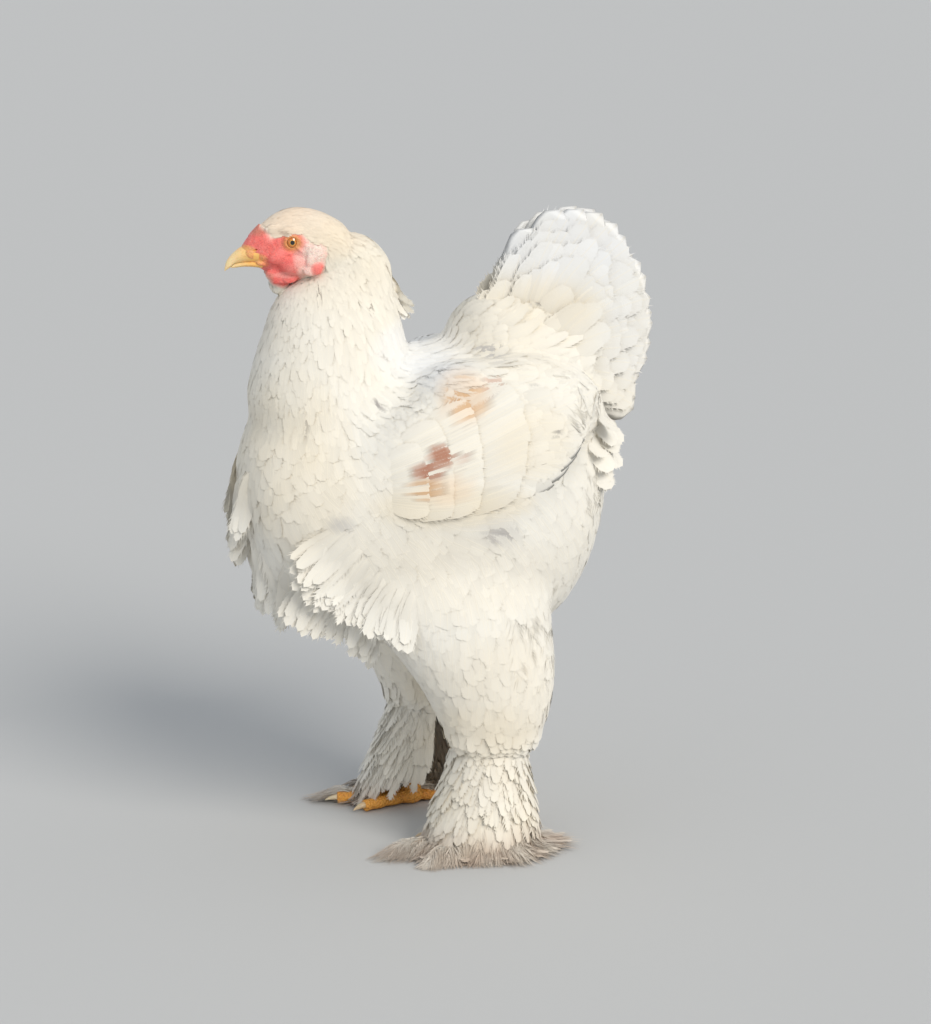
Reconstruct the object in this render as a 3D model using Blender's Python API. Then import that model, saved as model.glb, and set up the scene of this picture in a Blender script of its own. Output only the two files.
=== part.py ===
"""A standing brahma chicken at life size, as a still display model.

Metres, +Z up. The bird faces -X, its left side is at -Y, and it stands on Z = 0.
The named sizes below are in millimetres and are turned to metres by MM.
"""

import math
import random

import bmesh
import bpy
from mathutils import Matrix, Vector
from mathutils.bvhtree import BVHTree

MM = 0.001
GAP = 0.3
GAP_INFLATED = 0.36
FEW_TRIANGLES = 300
KEPT_SHARE = 0.74
SIDES = {"left": -1, "right": 1}
SEED = 11

# Torso, from breast to vent: x, height of the middle, rise, drop, half width
TORSO_ROWS = [
    (-190, 352, 22, 26, 28),
    (-179, 350, 56, 66, 65),
    (-156, 346, 90, 110, 91),
    (-115, 342, 112, 138, 110),
    (-60, 340, 128, 152, 120),
    (0, 342, 142, 158, 123),
    (60, 346, 138, 156, 118),
    (110, 350, 112, 138, 101),
    (142, 354, 76, 92, 75),
    (158, 356, 30, 38, 34),
]
# Neck, from the shoulders up: height, x of the middle, half depth, half width
NECK_ROWS = [
    (400, -104, 70, 80),
    (432, -104, 76, 81),
    (462, -101, 73, 72),
    (492, -97, 68, 60),
    (520, -96, 60, 46),
    (538, -90, 53, 35),
    (556, -76, 37, 29),
    (573, -74, 25, 24),
    (587, -82, 13, 14),
]
# Head, from the beak back: x, height of the middle, rise, drop, half width
HEAD_ROWS = [
    (-181, 565, 7, 6, 6),
    (-175, 568, 12.5, 12, 10.5),
    (-165, 572, 19.5, 20.5, 14.5),
    (-151, 575, 27.5, 32, 18.5),
    (-136, 576, 32, 38, 21.5),
    (-119, 576, 31.5, 41, 24.5),
    (-101, 573, 28.5, 40, 26),
    (-85, 569, 22, 33, 22),
    (-76, 567, 10, 18, 12),
]
# Thigh, from under the wing down: height, x of the middle, half depth, half width
THIGH_ROWS = [
    (308, 0, 72, 30),
    (285, -2, 90, 42),
    (250, 2, 95, 49),
    (215, 18, 83, 50),
    (180, 33, 71, 47),
    (148, 41, 60, 42),
    (120, 43, 50, 35),
    (100, 42, 34, 24),
]
THIGH_OUT = 76
# The right leg stands this much further forward at the thigh's top and at the foot.
STRIDE_TOP = 30
STRIDE_FOOT = 52
LEG_TOP_Z = 306

EYE_AT = (-135.0, 577.7)
EYE_RADIUS = 7.6
EYE_OUT = 15.6
LID_RADIUS = 7.2
LID_THICK = 1.3
LID_OUT = 21.2
# Swellings of the head's side, from the eye: place along, out and up, then half sizes
BROW = ((-1, 16.5, 11), (14, 6.5, 5.5))
CHEEK = ((4, 15.0, -20), (17, 8.5, 11))
THROAT = ((-146, 0, 540), (12, 9, 15))

ANKLE = (34, 65)
FOOT_SPLIT_Z = 24
HOCK = (44, 104)
SHANK_RADIUS = 7.5
TOE_Z = 6.2

WING_MIDDLE = (25, 98, 402)
WING_HALF = (114, 19, 68)
WING_PITCH = 22
# How far a wing's top leans in, in degrees
WING_ROLL = 14

TAIL_ROOT = (75, 440)
TAIL_REACH = 178
TAIL_SHORTEST = 112
TAIL_LEAN = 0.3
TAIL_CORE = {"middle": (94, 0, 462), "half": (60, 58, 56)}
SADDLE_CORE = {"middle": (54, 0, 480), "half": (48, 56, 46)}

MATERIALS = {
    "plumage": ((0.86, 0.83, 0.76), 0.85),
    "face_skin": ((0.72, 0.12, 0.10), 0.55),
    "lobe_skin": ((0.80, 0.45, 0.40), 0.55),
    "beak_horn": ((0.85, 0.55, 0.18), 0.4),
    "eye": ((0.55, 0.22, 0.05), 0.1),
    "claw_horn": ((0.75, 0.62, 0.42), 0.45),
    "scales": ((0.85, 0.45, 0.10), 0.5),
}


def clear_scene():
    for obj in list(bpy.data.objects):
        bpy.data.objects.remove(obj)


def material(name):
    """The named finish as a Principled material, made once."""
    found = bpy.data.materials.get(name)
    if found:
        return found
    colour, roughness = MATERIALS[name]
    made = bpy.data.materials.new(name)
    made.use_nodes = True
    shader = made.node_tree.nodes["Principled BSDF"]
    shader.inputs["Base Color"].default_value = (*colour, 1)
    shader.inputs["Roughness"].default_value = roughness
    made.diffuse_color = (*colour, 1)
    return made


def point(x, y, z):
    return Vector((x, y, z)) * MM


def smooth_rows(rows, count):
    """Rows at even steps along a smooth curve through the given rows."""
    last = len(rows) - 1
    made = []
    for step in range(count):
        place = step * last / (count - 1)
        i = min(int(place), last - 1)
        t = place - i
        four = rows[max(i - 1, 0)], rows[i], rows[i + 1], rows[min(i + 2, last)]
        made.append([spline(*values, t) for values in zip(*four)])
    return made


def spline(before, start, end, after, t):
    """Catmull-Rom value at share t between start and end."""
    return start + 0.5 * t * (
        end - before
        + t * (2 * before - 5 * start + 4 * end - after)
        + t * t * (3 * (start - end) + after - before)
    )


def between(values, t):
    """The value at share t along evenly spaced values."""
    place = min(max(t, 0), 1) * (len(values) - 1)
    i = min(int(place), len(values) - 2)
    return values[i] + (values[i + 1] - values[i]) * (place - i)


def loft(rings):
    """A closed bmesh through rings of points, with flat ends."""
    shell = bmesh.new()
    loops = [[shell.verts.new(p) for p in ring] for ring in rings]
    sides = len(loops[0])
    for low, high in zip(loops, loops[1:]):
        for i in range(sides):
            j = (i + 1) % sides
            shell.faces.new((low[i], low[j], high[j], high[i]))
    shell.faces.new(loops[0])
    shell.faces.new(loops[-1])
    bmesh.ops.recalc_face_normals(shell, faces=shell.faces)
    return shell


def loft_along_x(rows, sides, count):
    """Rings across X. Each row is x, height of the middle, rise, drop, half width."""
    rings = []
    for x, z, rise, drop, half in smooth_rows(rows, count):
        ring = []
        for i in range(sides):
            angle = 2 * math.pi * (i + 0.5) / sides
            tall = rise if math.sin(angle) > 0 else drop
            ring.append(point(x, half * math.cos(angle), z + tall * math.sin(angle)))
        rings.append(ring)
    return loft(rings)


def loft_along_z(rows, sides, count, y=0, shift=lambda z: 0):
    """Level rings. Each row is height, x of the middle, half depth, half width."""
    rings = []
    for z, x, depth, half in smooth_rows(rows, count):
        ring = []
        for i in range(sides):
            angle = 2 * math.pi * (i + 0.5) / sides
            along = x + shift(z) + depth * math.cos(angle)
            ring.append(point(along, y + half * math.sin(angle), z))
        rings.append(ring)
    return loft(rings)


def ball(middle, half, sides=16, rings=10, turn=None):
    """A closed ellipsoid, turned about its middle by the matrix turn."""
    shell = bmesh.new()
    bmesh.ops.create_uvsphere(shell, u_segments=sides, v_segments=rings, radius=1)
    place = Matrix.Translation(point(*middle)) @ (turn or Matrix.Identity(4))
    place = place @ Matrix.Diagonal((*(h * MM for h in half), 1))
    bmesh.ops.transform(shell, matrix=place, verts=shell.verts)
    return shell


def as_object(name, shell):
    """Links a bmesh as an object."""
    mesh = bpy.data.meshes.new(name)
    shell.to_mesh(mesh)
    obj = bpy.data.objects.new(name, mesh)
    bpy.context.scene.collection.objects.link(obj)
    return obj


def applied(obj):
    """Replaces an object's mesh by what its modifiers give, and drops the modifiers."""
    bpy.context.view_layer.update()
    graph = bpy.context.evaluated_depsgraph_get()
    mesh = bpy.data.meshes.new_from_object(obj.evaluated_get(graph))
    obj.modifiers.clear()
    obj.data = mesh
    return obj


def largest_shell(shell):
    """Keeps the connected surface that holds the most volume."""
    left = set(shell.faces)
    groups = []
    while left:
        stack = [left.pop()]
        group = []
        while stack:
            face = stack.pop()
            group.append(face)
            for edge in face.edges:
                for other in edge.link_faces:
                    if other in left:
                        left.discard(other)
                        stack.append(other)
        groups.append(group)

    def volume(group):
        total = 0
        for face in group:
            first = face.verts[0].co
            for a, b in zip(face.verts[1:], face.verts[2:]):
                total += first.dot(a.co.cross(b.co))
        return total

    groups.sort(key=volume)
    scraps = [face for group in groups[:-1] for face in group]
    bmesh.ops.delete(shell, geom=scraps, context="FACES")
    loose = [v for v in shell.verts if not v.link_faces]
    bmesh.ops.delete(shell, geom=loose, context="VERTS")


def tidy(obj):
    """Leaves triangles only, and keeps one closed surface."""
    shell = bmesh.new()
    shell.from_mesh(obj.data)
    bmesh.ops.triangulate(shell, faces=shell.faces)
    largest_shell(shell)
    shell.to_mesh(obj.data)
    shell.free()


def boolean(obj, operation, others, solver="MANIFOLD"):
    """Joins objects to obj, or cuts them from it, in one Boolean, then removes them."""
    tools = bpy.data.collections.new("tools")
    bpy.context.scene.collection.children.link(tools)
    for other in others:
        bpy.context.scene.collection.objects.unlink(other)
        tools.objects.link(other)
    step = obj.modifiers.new(operation.lower(), "BOOLEAN")
    step.operation = operation
    step.operand_type = "COLLECTION"
    step.collection = tools
    step.solver = solver
    applied(obj)
    for other in others:
        bpy.data.objects.remove(other)
    bpy.data.collections.remove(tools)
    return obj


def fuse(name, shells):
    """One object from overlapping closed shells."""
    first, *rest = [as_object(name, shell) for shell in shells]
    first.name = name
    if rest:
        boolean(first, "UNION", rest)
    return first


def grown(shell, distance=GAP_INFLATED):
    """A copy of a shell with its points moved out along their normals."""
    copy = shell.copy()
    copy.normal_update()
    for vert in copy.verts:
        vert.co += vert.normal * distance * MM
    return copy


def carve(obj, shells):
    """Cuts each grown shell from obj, so that it meets them with the gap."""
    if shells:
        boolean(obj, "DIFFERENCE", [as_object("cutter", grown(s)) for s in shells])
    return obj


def cut_level(obj, height, keep_above):
    """Cuts obj at a height and closes it, keeping one side."""
    shell = bmesh.new()
    shell.from_mesh(obj.data)
    cut = bmesh.ops.bisect_plane(
        shell,
        geom=shell.verts[:] + shell.edges[:] + shell.faces[:],
        dist=0.001 * MM,
        plane_co=(0, 0, height * MM),
        plane_no=(0, 0, 1),
        clear_inner=keep_above,
        clear_outer=not keep_above,
    )
    edges = [e for e in cut["geom_cut"] if isinstance(e, bmesh.types.BMEdge)]
    bmesh.ops.holes_fill(shell, edges=edges)
    bmesh.ops.recalc_face_normals(shell, faces=shell.faces)
    shell.to_mesh(obj.data)
    shell.free()
    return obj


def finish(obj, finish_name):
    """Tidies a node, drops points that hardly shape it, and gives it its material."""
    tidy(obj)
    if len(obj.data.polygons) > FEW_TRIANGLES:
        thin = obj.modifiers.new("thin", "DECIMATE")
        thin.ratio = KEPT_SHARE
        applied(obj)
    obj.data.materials.clear()
    obj.data.materials.append(material(finish_name))
    obj.data.shade_smooth()
    obj.data.set_sharp_from_angle(angle=math.radians(40))
    return obj


class Ground:
    """Surfaces that feathers lie on and keep clear of."""

    def __init__(self, *shells):
        self.trees = [BVHTree.FromBMesh(shell) for shell in shells]

    def nearest(self, spot):
        """(foot point, outward normal, signed height) of the nearest surface."""
        best = None
        for tree in self.trees:
            foot, normal, _, distance = tree.find_nearest(spot)
            height = distance if (spot - foot).dot(normal) > 0 else -distance
            if best is None or height < best[2]:
                best = (foot, normal, height)
        return best

    def clear(self, spot, distance):
        """The spot, moved out until it is that far above every surface."""
        for _ in range(3):
            foot, normal, height = self.nearest(spot)
            if height >= distance:
                break
            spot = foot + normal * distance
        return spot


def lie(ground, root, heading, length, rise, lift=0, follow=1.0, bend=None, steps=4, sunk=6):
    """The middle line of a feather: sunk at its root, then along the ground.

    It reaches the height rise a quarter of the way along, and gains lift by its tip.
    Past the share follow of its length it leaves the ground and turns towards bend.
    Returns points and outward directions, one pair for each step and one more.
    """
    foot, normal, _ = ground.nearest(root)
    heading = (heading - normal * heading.dot(normal)).normalized()
    spots = [foot - normal * sunk * MM]
    outs = [normal]
    spot = foot
    for i in range(1, steps + 1):
        share = i / steps
        spot = spot + heading * (length * MM / steps)
        if share <= follow:
            foot, normal, _ = ground.nearest(spot)
            spot = foot + normal * (rise + lift * share) * MM
            normal = (normal + outs[-1]).normalized()
            heading = (heading - normal * heading.dot(normal)).normalized()
        elif bend is not None:
            heading = (heading + bend / steps).normalized()
            normal = (normal - heading * normal.dot(heading)).normalized()
        spots.append(ground.clear(spot, min(rise, 1.2) * MM))
        outs.append(normal)
    return spots, outs


# Shares of a vane's width, from its root on
ROUND_VANE = (0.2, 0.9, 1.0, 0.8)
LANCE_VANE = (0.25, 0.9, 0.85, 0.45)
# How far a vane's last broad row is moved on towards its tip
ROUND_END = 0.6


def widths_across(spots, outs, i, tilt):
    """Unit vector across a feather at its point i, tilted about the feather's line."""
    ahead = (spots[i + 1] - spots[max(i - 1, 0)]).normalized()
    across = ahead.cross(outs[i]).normalized()
    return across * math.cos(tilt) + outs[i] * math.sin(tilt)


def skin_over(shell, rows, spots, lower):
    """Closes rows of points into a feather with a pointed tip.

    The sides numbered in lower are split the other way, so that both faces match.
    """
    tip = shell.verts.new(spots[-1])
    sides = len(rows[0])
    for low, high in zip(rows, rows[1:]):
        for i in range(sides):
            j = (i + 1) % sides
            if i in lower:
                shell.faces.new((low[j], high[i], low[i]))
                shell.faces.new((low[j], high[j], high[i]))
            else:
                shell.faces.new((low[i], low[j], high[j]))
                shell.faces.new((low[i], high[j], high[i]))
    for i in range(sides):
        shell.faces.new((rows[-1][i], rows[-1][(i + 1) % sides], tip))
    shell.faces.new(rows[0])
    bmesh.ops.recalc_face_normals(shell, faces=shell.faces)
    return shell


def vane(spots, outs, width, tilt=0, shape=ROUND_VANE, thick=1.4, edge=0.5, cup=0.1):
    """A closed feather vane with a thicker middle and a round end.

    tilt lifts one long edge over the other, in degrees. cup is how far both edges
    drop, as a share of the half width.
    """
    shell = bmesh.new()
    rows = []
    count = len(spots) - 1
    for i in range(count):
        half = width * 0.5 * MM * between(shape, i / (count - 1))
        across = widths_across(spots, outs, i, math.radians(tilt)) * half
        drop = outs[i] * half * cup
        up = outs[i] * MM * 0.5
        middle = spots[i]
        if i == count - 1:
            middle = middle.lerp(spots[-1], ROUND_END)
        left, right = middle - across - drop, middle + across - drop
        ring = (
            left + up * edge,
            middle + up * thick,
            right + up * edge,
            right - up * edge,
            middle - up * thick,
            left - up * edge,
        )
        rows.append([shell.verts.new(p) for p in ring])
    return skin_over(shell, rows, spots, (3, 4))


def lock(spots, outs, width, thick=1.8, tilt=0, shape=LANCE_VANE):
    """A closed flat tapered lock with four sides, ending in a point."""
    shell = bmesh.new()
    rows = []
    count = len(spots) - 1
    for i in range(count):
        half = width * 0.5 * MM * between(shape, i / (count - 1))
        across = widths_across(spots, outs, i, math.radians(tilt)) * half
        up = outs[i] * thick * 0.5 * MM
        ring = (spots[i] - across, spots[i] + up, spots[i] + across, spots[i] - up)
        rows.append([shell.verts.new(p) for p in ring])
    return skin_over(shell, rows, spots, (2, 3))


def stride(side):
    """How far a leg is shifted along X at a height, as a function of the height."""
    if side < 0:
        return lambda z: 0
    return lambda z: -(STRIDE_TOP + (STRIDE_FOOT - STRIDE_TOP) * (1 - min(z, LEG_TOP_Z) / LEG_TOP_Z))


def torso_core():
    return loft_along_x(TORSO_ROWS, 20, 12)


def neck_core():
    return loft_along_z(NECK_ROWS, 16, 9)


def head_core():
    return loft_along_x(HEAD_ROWS, 16, 11)


def thigh_core(side):
    return loft_along_z(THIGH_ROWS, 14, 9, side * THIGH_OUT, stride(side))


def wing_core(side):
    turn = Matrix.Rotation(math.radians(side * WING_ROLL), 4, "X")
    turn = turn @ Matrix.Rotation(math.radians(-WING_PITCH), 4, "Y")
    x, y, z = WING_MIDDLE
    return ball((x, side * y, z), WING_HALF, 16, 8, turn)


def tail_cores():
    lean = Matrix.Rotation(math.radians(-45), 4, "Y")
    return [
        ball(TAIL_CORE["middle"], TAIL_CORE["half"], 12, 7, lean),
        ball(SADDLE_CORE["middle"], SADDLE_CORE["half"], 12, 6),
    ]


# Tiers of loose breast feathers: root height, count, how far the row reaches sideways,
# length, how strongly their tips turn forwards
BREAST_TIERS = ((344, 5, 62, 52, 1.9), (306, 5, 78, 44, 1.1), (262, 4, 70, 44, 1.0))
# The share of their length that lies on the breast
BREAST_FOLLOW = 0.3


def make_torso(cores, rng):
    """The body with the loose feathers at the foot of the breast."""
    ground = Ground(cores["torso"])
    off_legs = Ground(cores["thigh_left"], cores["thigh_right"])
    pieces = [cores["torso"]]
    for height, count, reach, long, forwards in BREAST_TIERS:
        for i in range(count):
            share = (i + 0.5) / count * 2 - 1
            root = point(-200 + 30 * share * share, reach * share, height)
            heading = Vector((-0.15, 0.25 * share, -1))
            bend = Vector((-forwards - 0.4 * rng.random(), 1.2 * share, -0.2))
            length = long + 12 * rng.random()
            rise = 1.6 + i % 2
            spots, outs = lie(ground, root, heading, length, rise, 4, BREAST_FOLLOW, bend, 4, 7)
            spots = [spots[0]] + [off_legs.clear(p, 3 * MM) for p in spots[1:]]
            pieces.append(lock(spots, outs, 27, 2.0))
    return fuse("torso", pieces)


# Tiers of hackle feathers: root height, length, count, width
HACKLE_TIERS = ((527, 50, 8, 42), (494, 52, 9, 45), (461, 50, 10, 46))
# How much higher the roots sit on the nape than on the throat
NAPE_RAISED = 9


def make_neck(cores):
    """The neck with its cape of hackle feathers in tiers."""
    ground = Ground(cores["neck"], cores["torso"])
    off_wings = Ground(cores["wing_left"], cores["wing_right"])
    pieces = [cores["neck"]]
    for tier, (height, length, count, width) in enumerate(HACKLE_TIERS):
        for i in range(count):
            angle = 2 * math.pi * (i + 0.5 * (tier % 2)) / count
            out = Vector((math.cos(angle), math.sin(angle), 0))
            root = point(-98, 0, height + NAPE_RAISED * out.x) + out * 70 * MM
            heading = Vector((0.25 * max(out.x, 0), 0, -1))
            spots, outs = lie(ground, root, heading, length, 1 + 0.9 * (i % 2), 4.5)
            spots = [spots[0]] + [off_wings.clear(p, 2 * MM) for p in spots[1:]]
            pieces.append(lock(spots, outs, width, 1.4, shape=ROUND_VANE))
    return carve(fuse("neck", pieces), [cores["torso"]])


def eye_middle(side):
    return (EYE_AT[0], side * EYE_OUT, EYE_AT[1])


def eye_ball(side):
    return ball(eye_middle(side), (EYE_RADIUS,) * 3, 12, 8)


def make_head(cores):
    """The head with brows, cheeks, lids round the eyes and their sockets."""
    pieces = [cores["head"], ball(*THROAT, 10, 6)]
    for side in SIDES.values():
        x, _, z = eye_middle(side)
        for (along, out, rise), half in (BROW, CHEEK):
            pieces.append(ball((x + along, side * out, z + rise), half, 8, 5))
        lid = bmesh.new()
        bmesh.ops.create_circle(lid, segments=6, radius=LID_THICK * MM)
        bmesh.ops.translate(lid, verts=lid.verts, vec=(LID_RADIUS * MM, 0, 0))
        bmesh.ops.rotate(
            lid,
            verts=lid.verts,
            cent=(LID_RADIUS * MM, 0, 0),
            matrix=Matrix.Rotation(math.pi / 2, 3, "X"),
        )
        bmesh.ops.spin(
            lid,
            geom=lid.verts[:] + lid.edges[:],
            angle=2 * math.pi,
            steps=12,
            axis=(0, 0, 1),
            use_merge=True,
        )
        bmesh.ops.remove_doubles(lid, verts=lid.verts, dist=0.001 * MM)
        bmesh.ops.recalc_face_normals(lid, faces=lid.faces)
        face_out = Matrix.Rotation(math.radians(90 - 6 * side), 4, "X")
        bmesh.ops.transform(
            lid,
            matrix=Matrix.Translation(point(x, side * LID_OUT, z)) @ face_out,
            verts=lid.verts,
        )
        pieces.append(lid)
    obj = fuse("head", pieces)
    sockets = [eye_ball(side) for side in SIDES.values()]
    return carve(obj, [cores["neck"], *sockets])


# Rows of the pea comb: place across, bumps, radius
COMB_ROWS = ((0, 5, 3.1), (-3.9, 4, 2.4), (3.9, 4, 2.4))
COMB_FRONT = (-172, 583)
COMB_SPAN = (22, 18)
# Folds under the face: middle on the left side with y as distance out, half sizes
WATTLE = (((-146, 11.5, 546), (15, 3.2, 8)), ((-151, 11, 541), (7, 2.6, 4.5)))
EAR_LOBE = (((-114, 24.2, 565.5), (9.5, 3.4, 10.5)), ((-113.5, 24.8, 552.5), (6.5, 3.2, 6.8)))


def bulbs(name, side, folds):
    """One object from the ellipsoids of a fold, on one side."""
    shells = [ball((x, side * y, z), half, 10, 6) for (x, y, z), half in folds]
    return fuse(name, shells)


def make_comb():
    bumps = []
    for across, count, radius in COMB_ROWS:
        for i in range(count):
            share = i / (count - 1)
            x = COMB_FRONT[0] + COMB_SPAN[0] * share
            z = COMB_FRONT[1] + COMB_SPAN[1] * math.sin(share * math.pi / 2) - 0.3 * abs(across)
            size = radius * (0.85 + 0.35 * math.sin(math.pi * share))
            bumps.append(ball((x, across, z), (size * 1.2, size, size * 1.3), 6, 5))
    return fuse("comb", bumps)


def make_face_pieces(head, cores):
    """Comb, wattles and ear lobes, each cut to meet the head and the neck."""
    made = [(make_comb(), "face_skin")]
    for name, side in SIDES.items():
        made.append((bulbs(f"wattle_{name}", side, WATTLE), "face_skin"))
        made.append((bulbs(f"earlobe_{name}", side, EAR_LOBE), "lobe_skin"))
    shell = bmesh.new()
    shell.from_mesh(head.data)
    for obj, finish_name in made:
        carve(obj, [shell, cores["neck"]])
        finish(obj, finish_name)
    shell.free()


BEAK_UPPER_ROWS = [
    (-196.2, 550.4, 1.0, 1.0, 1.0),
    (-194.6, 553.8, 4.2, 3.4, 2.6),
    (-191.2, 557.4, 5.6, 4.8, 4.4),
    (-187.2, 560.8, 6.2, 4.8, 6.2),
    (-181.5, 564, 7.2, 5.6, 8.6),
    (-173.5, 566, 9.5, 6.6, 11.6),
    (-167, 566, 10.5, 7.0, 13.0),
]
BEAK_LOWER_ROWS = [
    (-190.4, 553.0, 1.2, 1.0, 1.8),
    (-186.5, 554.0, 3.4, 2.0, 3.8),
    (-180, 555.4, 4.4, 2.8, 6.4),
    (-172, 556.2, 4.6, 3.8, 9.6),
    (-162, 555.6, 4.6, 4.4, 11.8),
]
NOSTRIL = {"middle": (-179, 8.2, 568.4), "half": (3.2, 2.2, 1.4)}


def make_beak(head):
    """Upper and lower beak, which meet at the mouth's line, with two nostrils."""
    shell = bmesh.new()
    shell.from_mesh(head.data)
    upper = as_object("beak_upper", loft_along_x(BEAK_UPPER_ROWS, 12, 8))
    slots = []
    for side in SIDES.values():
        x, y, z = NOSTRIL["middle"]
        slots.append(ball((x, side * y, z), NOSTRIL["half"], 6, 4))
    carve(upper, [shell, *slots])
    finish(upper, "beak_horn")
    lower = as_object("beak_lower", loft_along_x(BEAK_LOWER_ROWS, 10, 6))
    carve(lower, [loft_along_x(BEAK_UPPER_ROWS, 12, 8), shell])
    finish(lower, "beak_horn")
    shell.free()


def make_eyes():
    for name, side in SIDES.items():
        finish(as_object(f"eye_{name}", eye_ball(side)), "eye")


def wing_place(side, along, up):
    """A point over the wing's outer face, from its length and height as shares."""
    pitch = math.radians(WING_PITCH)
    x, y, z = WING_MIDDLE
    a, b = along * WING_HALF[0], up * WING_HALF[2]
    return point(
        x + a * math.cos(pitch) - b * math.sin(pitch),
        side * (y + 40),
        z + a * math.sin(pitch) + b * math.cos(pitch),
    )


# Wing tiers: lowest root, highest root (along, up), count, lengths from the lowest
# feather to the highest, angles in the same way, width, rise, tilt, steps
WING_TIERS = (
    ((-0.40, -0.66), (-0.28, 0.40), 7, (112, 140, 156, 158, 150), (21, 25, 27, 28, 28), 31, 3.2, 10, 4),
    ((-0.60, -0.42), (-0.42, 0.62), 6, (74, 88, 92, 88, 80), (14, 20, 25, 28, 29), 31, 8.8, 6, 3),
    ((-0.84, -0.20), (-0.66, 0.58), 5, (50, 56, 58, 56, 52), (6, 16, 24, 30, 32), 31, 12.6, 4, 3),
)


def make_wing(cores, name, side):
    """A folded wing: three tiers of coverts over the flight feathers."""
    ground = Ground(cores[f"wing_{name}"], cores["torso"], cores[f"thigh_{name}"])
    off_tail = Ground(*cores["tail"])
    pieces = [cores[f"wing_{name}"]]
    for low, high, count, lengths, angles, width, rise, tilt, steps in WING_TIERS:
        for i in range(count):
            share = i / (count - 1)
            along, up = (a + (b - a) * share for a, b in zip(low, high))
            angle = math.radians(between(angles, share))
            heading = Vector((math.cos(angle), 0, math.sin(angle)))
            root = wing_place(side, along, up)
            length = between(lengths, share)
            spots, outs = lie(ground, root, heading, length, rise, steps=steps)
            spots = [spots[0]] + [off_tail.clear(p, 2 * MM) for p in spots[1:]]
            pieces.append(vane(spots, outs, width, -side * tilt))
    wing = fuse(f"wing_{name}", pieces)
    return carve(wing, [cores["torso"], cores[f"thigh_{name}"], *cores["tail"]])


def tail_reach(angle):
    """Length of a tail feather that stands at an angle above the level, in degrees."""
    if angle > 70:
        return TAIL_REACH - 0.7 * (angle - 70)
    return max(TAIL_REACH * (1 - 0.42 * ((70 - angle) / 70) ** 1.1), TAIL_SHORTEST)


def fan_path(side, angle, start, reach, inner, outer, hang=8):
    """A tail feather's middle line from the tail's root, fanned to an angle.

    It runs from inner to outer sideways, over the full reach of the longest feather.
    """
    spots = []
    outs = []
    for i in range(5):
        far = start + (reach - start) * i / 4
        tilt = math.radians(angle - hang * (i / 4) ** 2)
        x = TAIL_ROOT[0] + far * math.cos(tilt)
        z = TAIL_ROOT[1] + far * math.sin(tilt)
        wide = inner + (outer - inner) * far / TAIL_REACH
        spots.append(point(x, side * wide, z))
        out = Vector((-math.sin(tilt) * TAIL_LEAN, side, math.cos(tilt) * TAIL_LEAN))
        outs.append(out.normalized())
    return spots, outs


# Tail tiers: top and lowest angle, feathers a side, share of the full reach, where the
# row starts sideways, topmost and lowest tip sideways, width, distance of the root
TAIL_TIERS = (
    (84, -6, 7, 1.0, 8, (11, 34), 48, 30),
    (104, 4, 5, 0.76, 24, (30, 52), 50, 34),
    (62, 12, 3, 0.58, 38, (50, 62), 50, 36),
)
# Saddle feathers from side to side: place across, length
SADDLE = ((-48, 84), (-25, 70), (0, 54), (25, 70), (48, 84))


def make_tail(cores):
    """The tail: flight feathers in a fan, under two tiers of coverts and the saddle."""
    pieces = list(cores["tail"])
    off_torso = Ground(cores["torso"])
    for top, low, count, share, inner, outer, width, start in TAIL_TIERS:
        for i in range(count):
            part = i / (count - 1)
            angle = top + (low - top) * part
            wide = outer[0] + (outer[1] - outer[0]) * part
            for side in SIDES.values():
                reach = tail_reach(angle) * share
                spots, outs = fan_path(side, angle, start, reach, inner, wide)
                spots = [spots[0]] + [off_torso.clear(p, 2 * MM) for p in spots[1:]]
                pieces.append(vane(spots, outs, width, thick=1.6, edge=0.6, cup=0.12))
    ground = Ground(*cores["tail"], cores["torso"])
    for across, length in SADDLE:
        heading = Vector((1, 0.004 * across, 0.8))
        bend = Vector((-0.5, 0.006 * across, 1.2))
        root = point(14, across, 520)
        spots, outs = lie(ground, root, heading, length, 1.8, 3, 0.5, bend)
        pieces.append(vane(spots, outs, 38))
    return carve(fuse("tail", pieces), [cores["torso"]])


FRONT_LOCKS = 7
HOCK_LOCKS = 7


def make_thigh(cores, name, side, rng):
    """The feathered thigh, with loose locks at its front and at the hock."""
    other = "right" if side < 0 else "left"
    shift = stride(side)
    ground = Ground(cores[f"thigh_{name}"], cores["torso"])
    off = Ground(cores["torso"], cores[f"thigh_{other}"])
    pieces = [cores[f"thigh_{name}"]]
    for i in range(FRONT_LOCKS):
        share = i / (FRONT_LOCKS - 1)
        height = 278 - 50 * share
        root = point(-80 + 66 * share + shift(height), side * (112 - 4 * share), height)
        heading = Vector((-0.8 + 0.7 * share, side * 0.1, -0.8))
        bend = Vector((-0.5 + 0.4 * share, side * 0.5, -0.3 * rng.random()))
        length = 60 - 8 * share + 8 * rng.random()
        spots, outs = lie(ground, root, heading, length, 1.8 + i % 2, 3, 0.5, bend)
        spots = [spots[0]] + [off.clear(p, 2 * MM) for p in spots[1:]]
        pieces.append(lock(spots, outs, 27))
    for i in range(HOCK_LOCKS):
        angle = 2 * math.pi * (i + 0.5) / HOCK_LOCKS
        middle = point(42 + shift(120), side * THIGH_OUT, 136)
        root = middle + Vector((math.cos(angle) * 58, side * math.sin(angle) * 46, 0)) * MM
        down = Vector((0, 0, -1))
        spots, outs = lie(ground, root, down, 42, 1.6 + i % 2, 1, 0.6, down)
        pieces.append(lock(spots, outs, 34, shape=ROUND_VANE))
    return carve(fuse(f"thigh_{name}", pieces), [cores["torso"]])


def foot_place(side):
    """x and y of the ball of a foot."""
    return ANKLE[0] - 4 + stride(side)(0), side * ANKLE[1]


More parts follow.
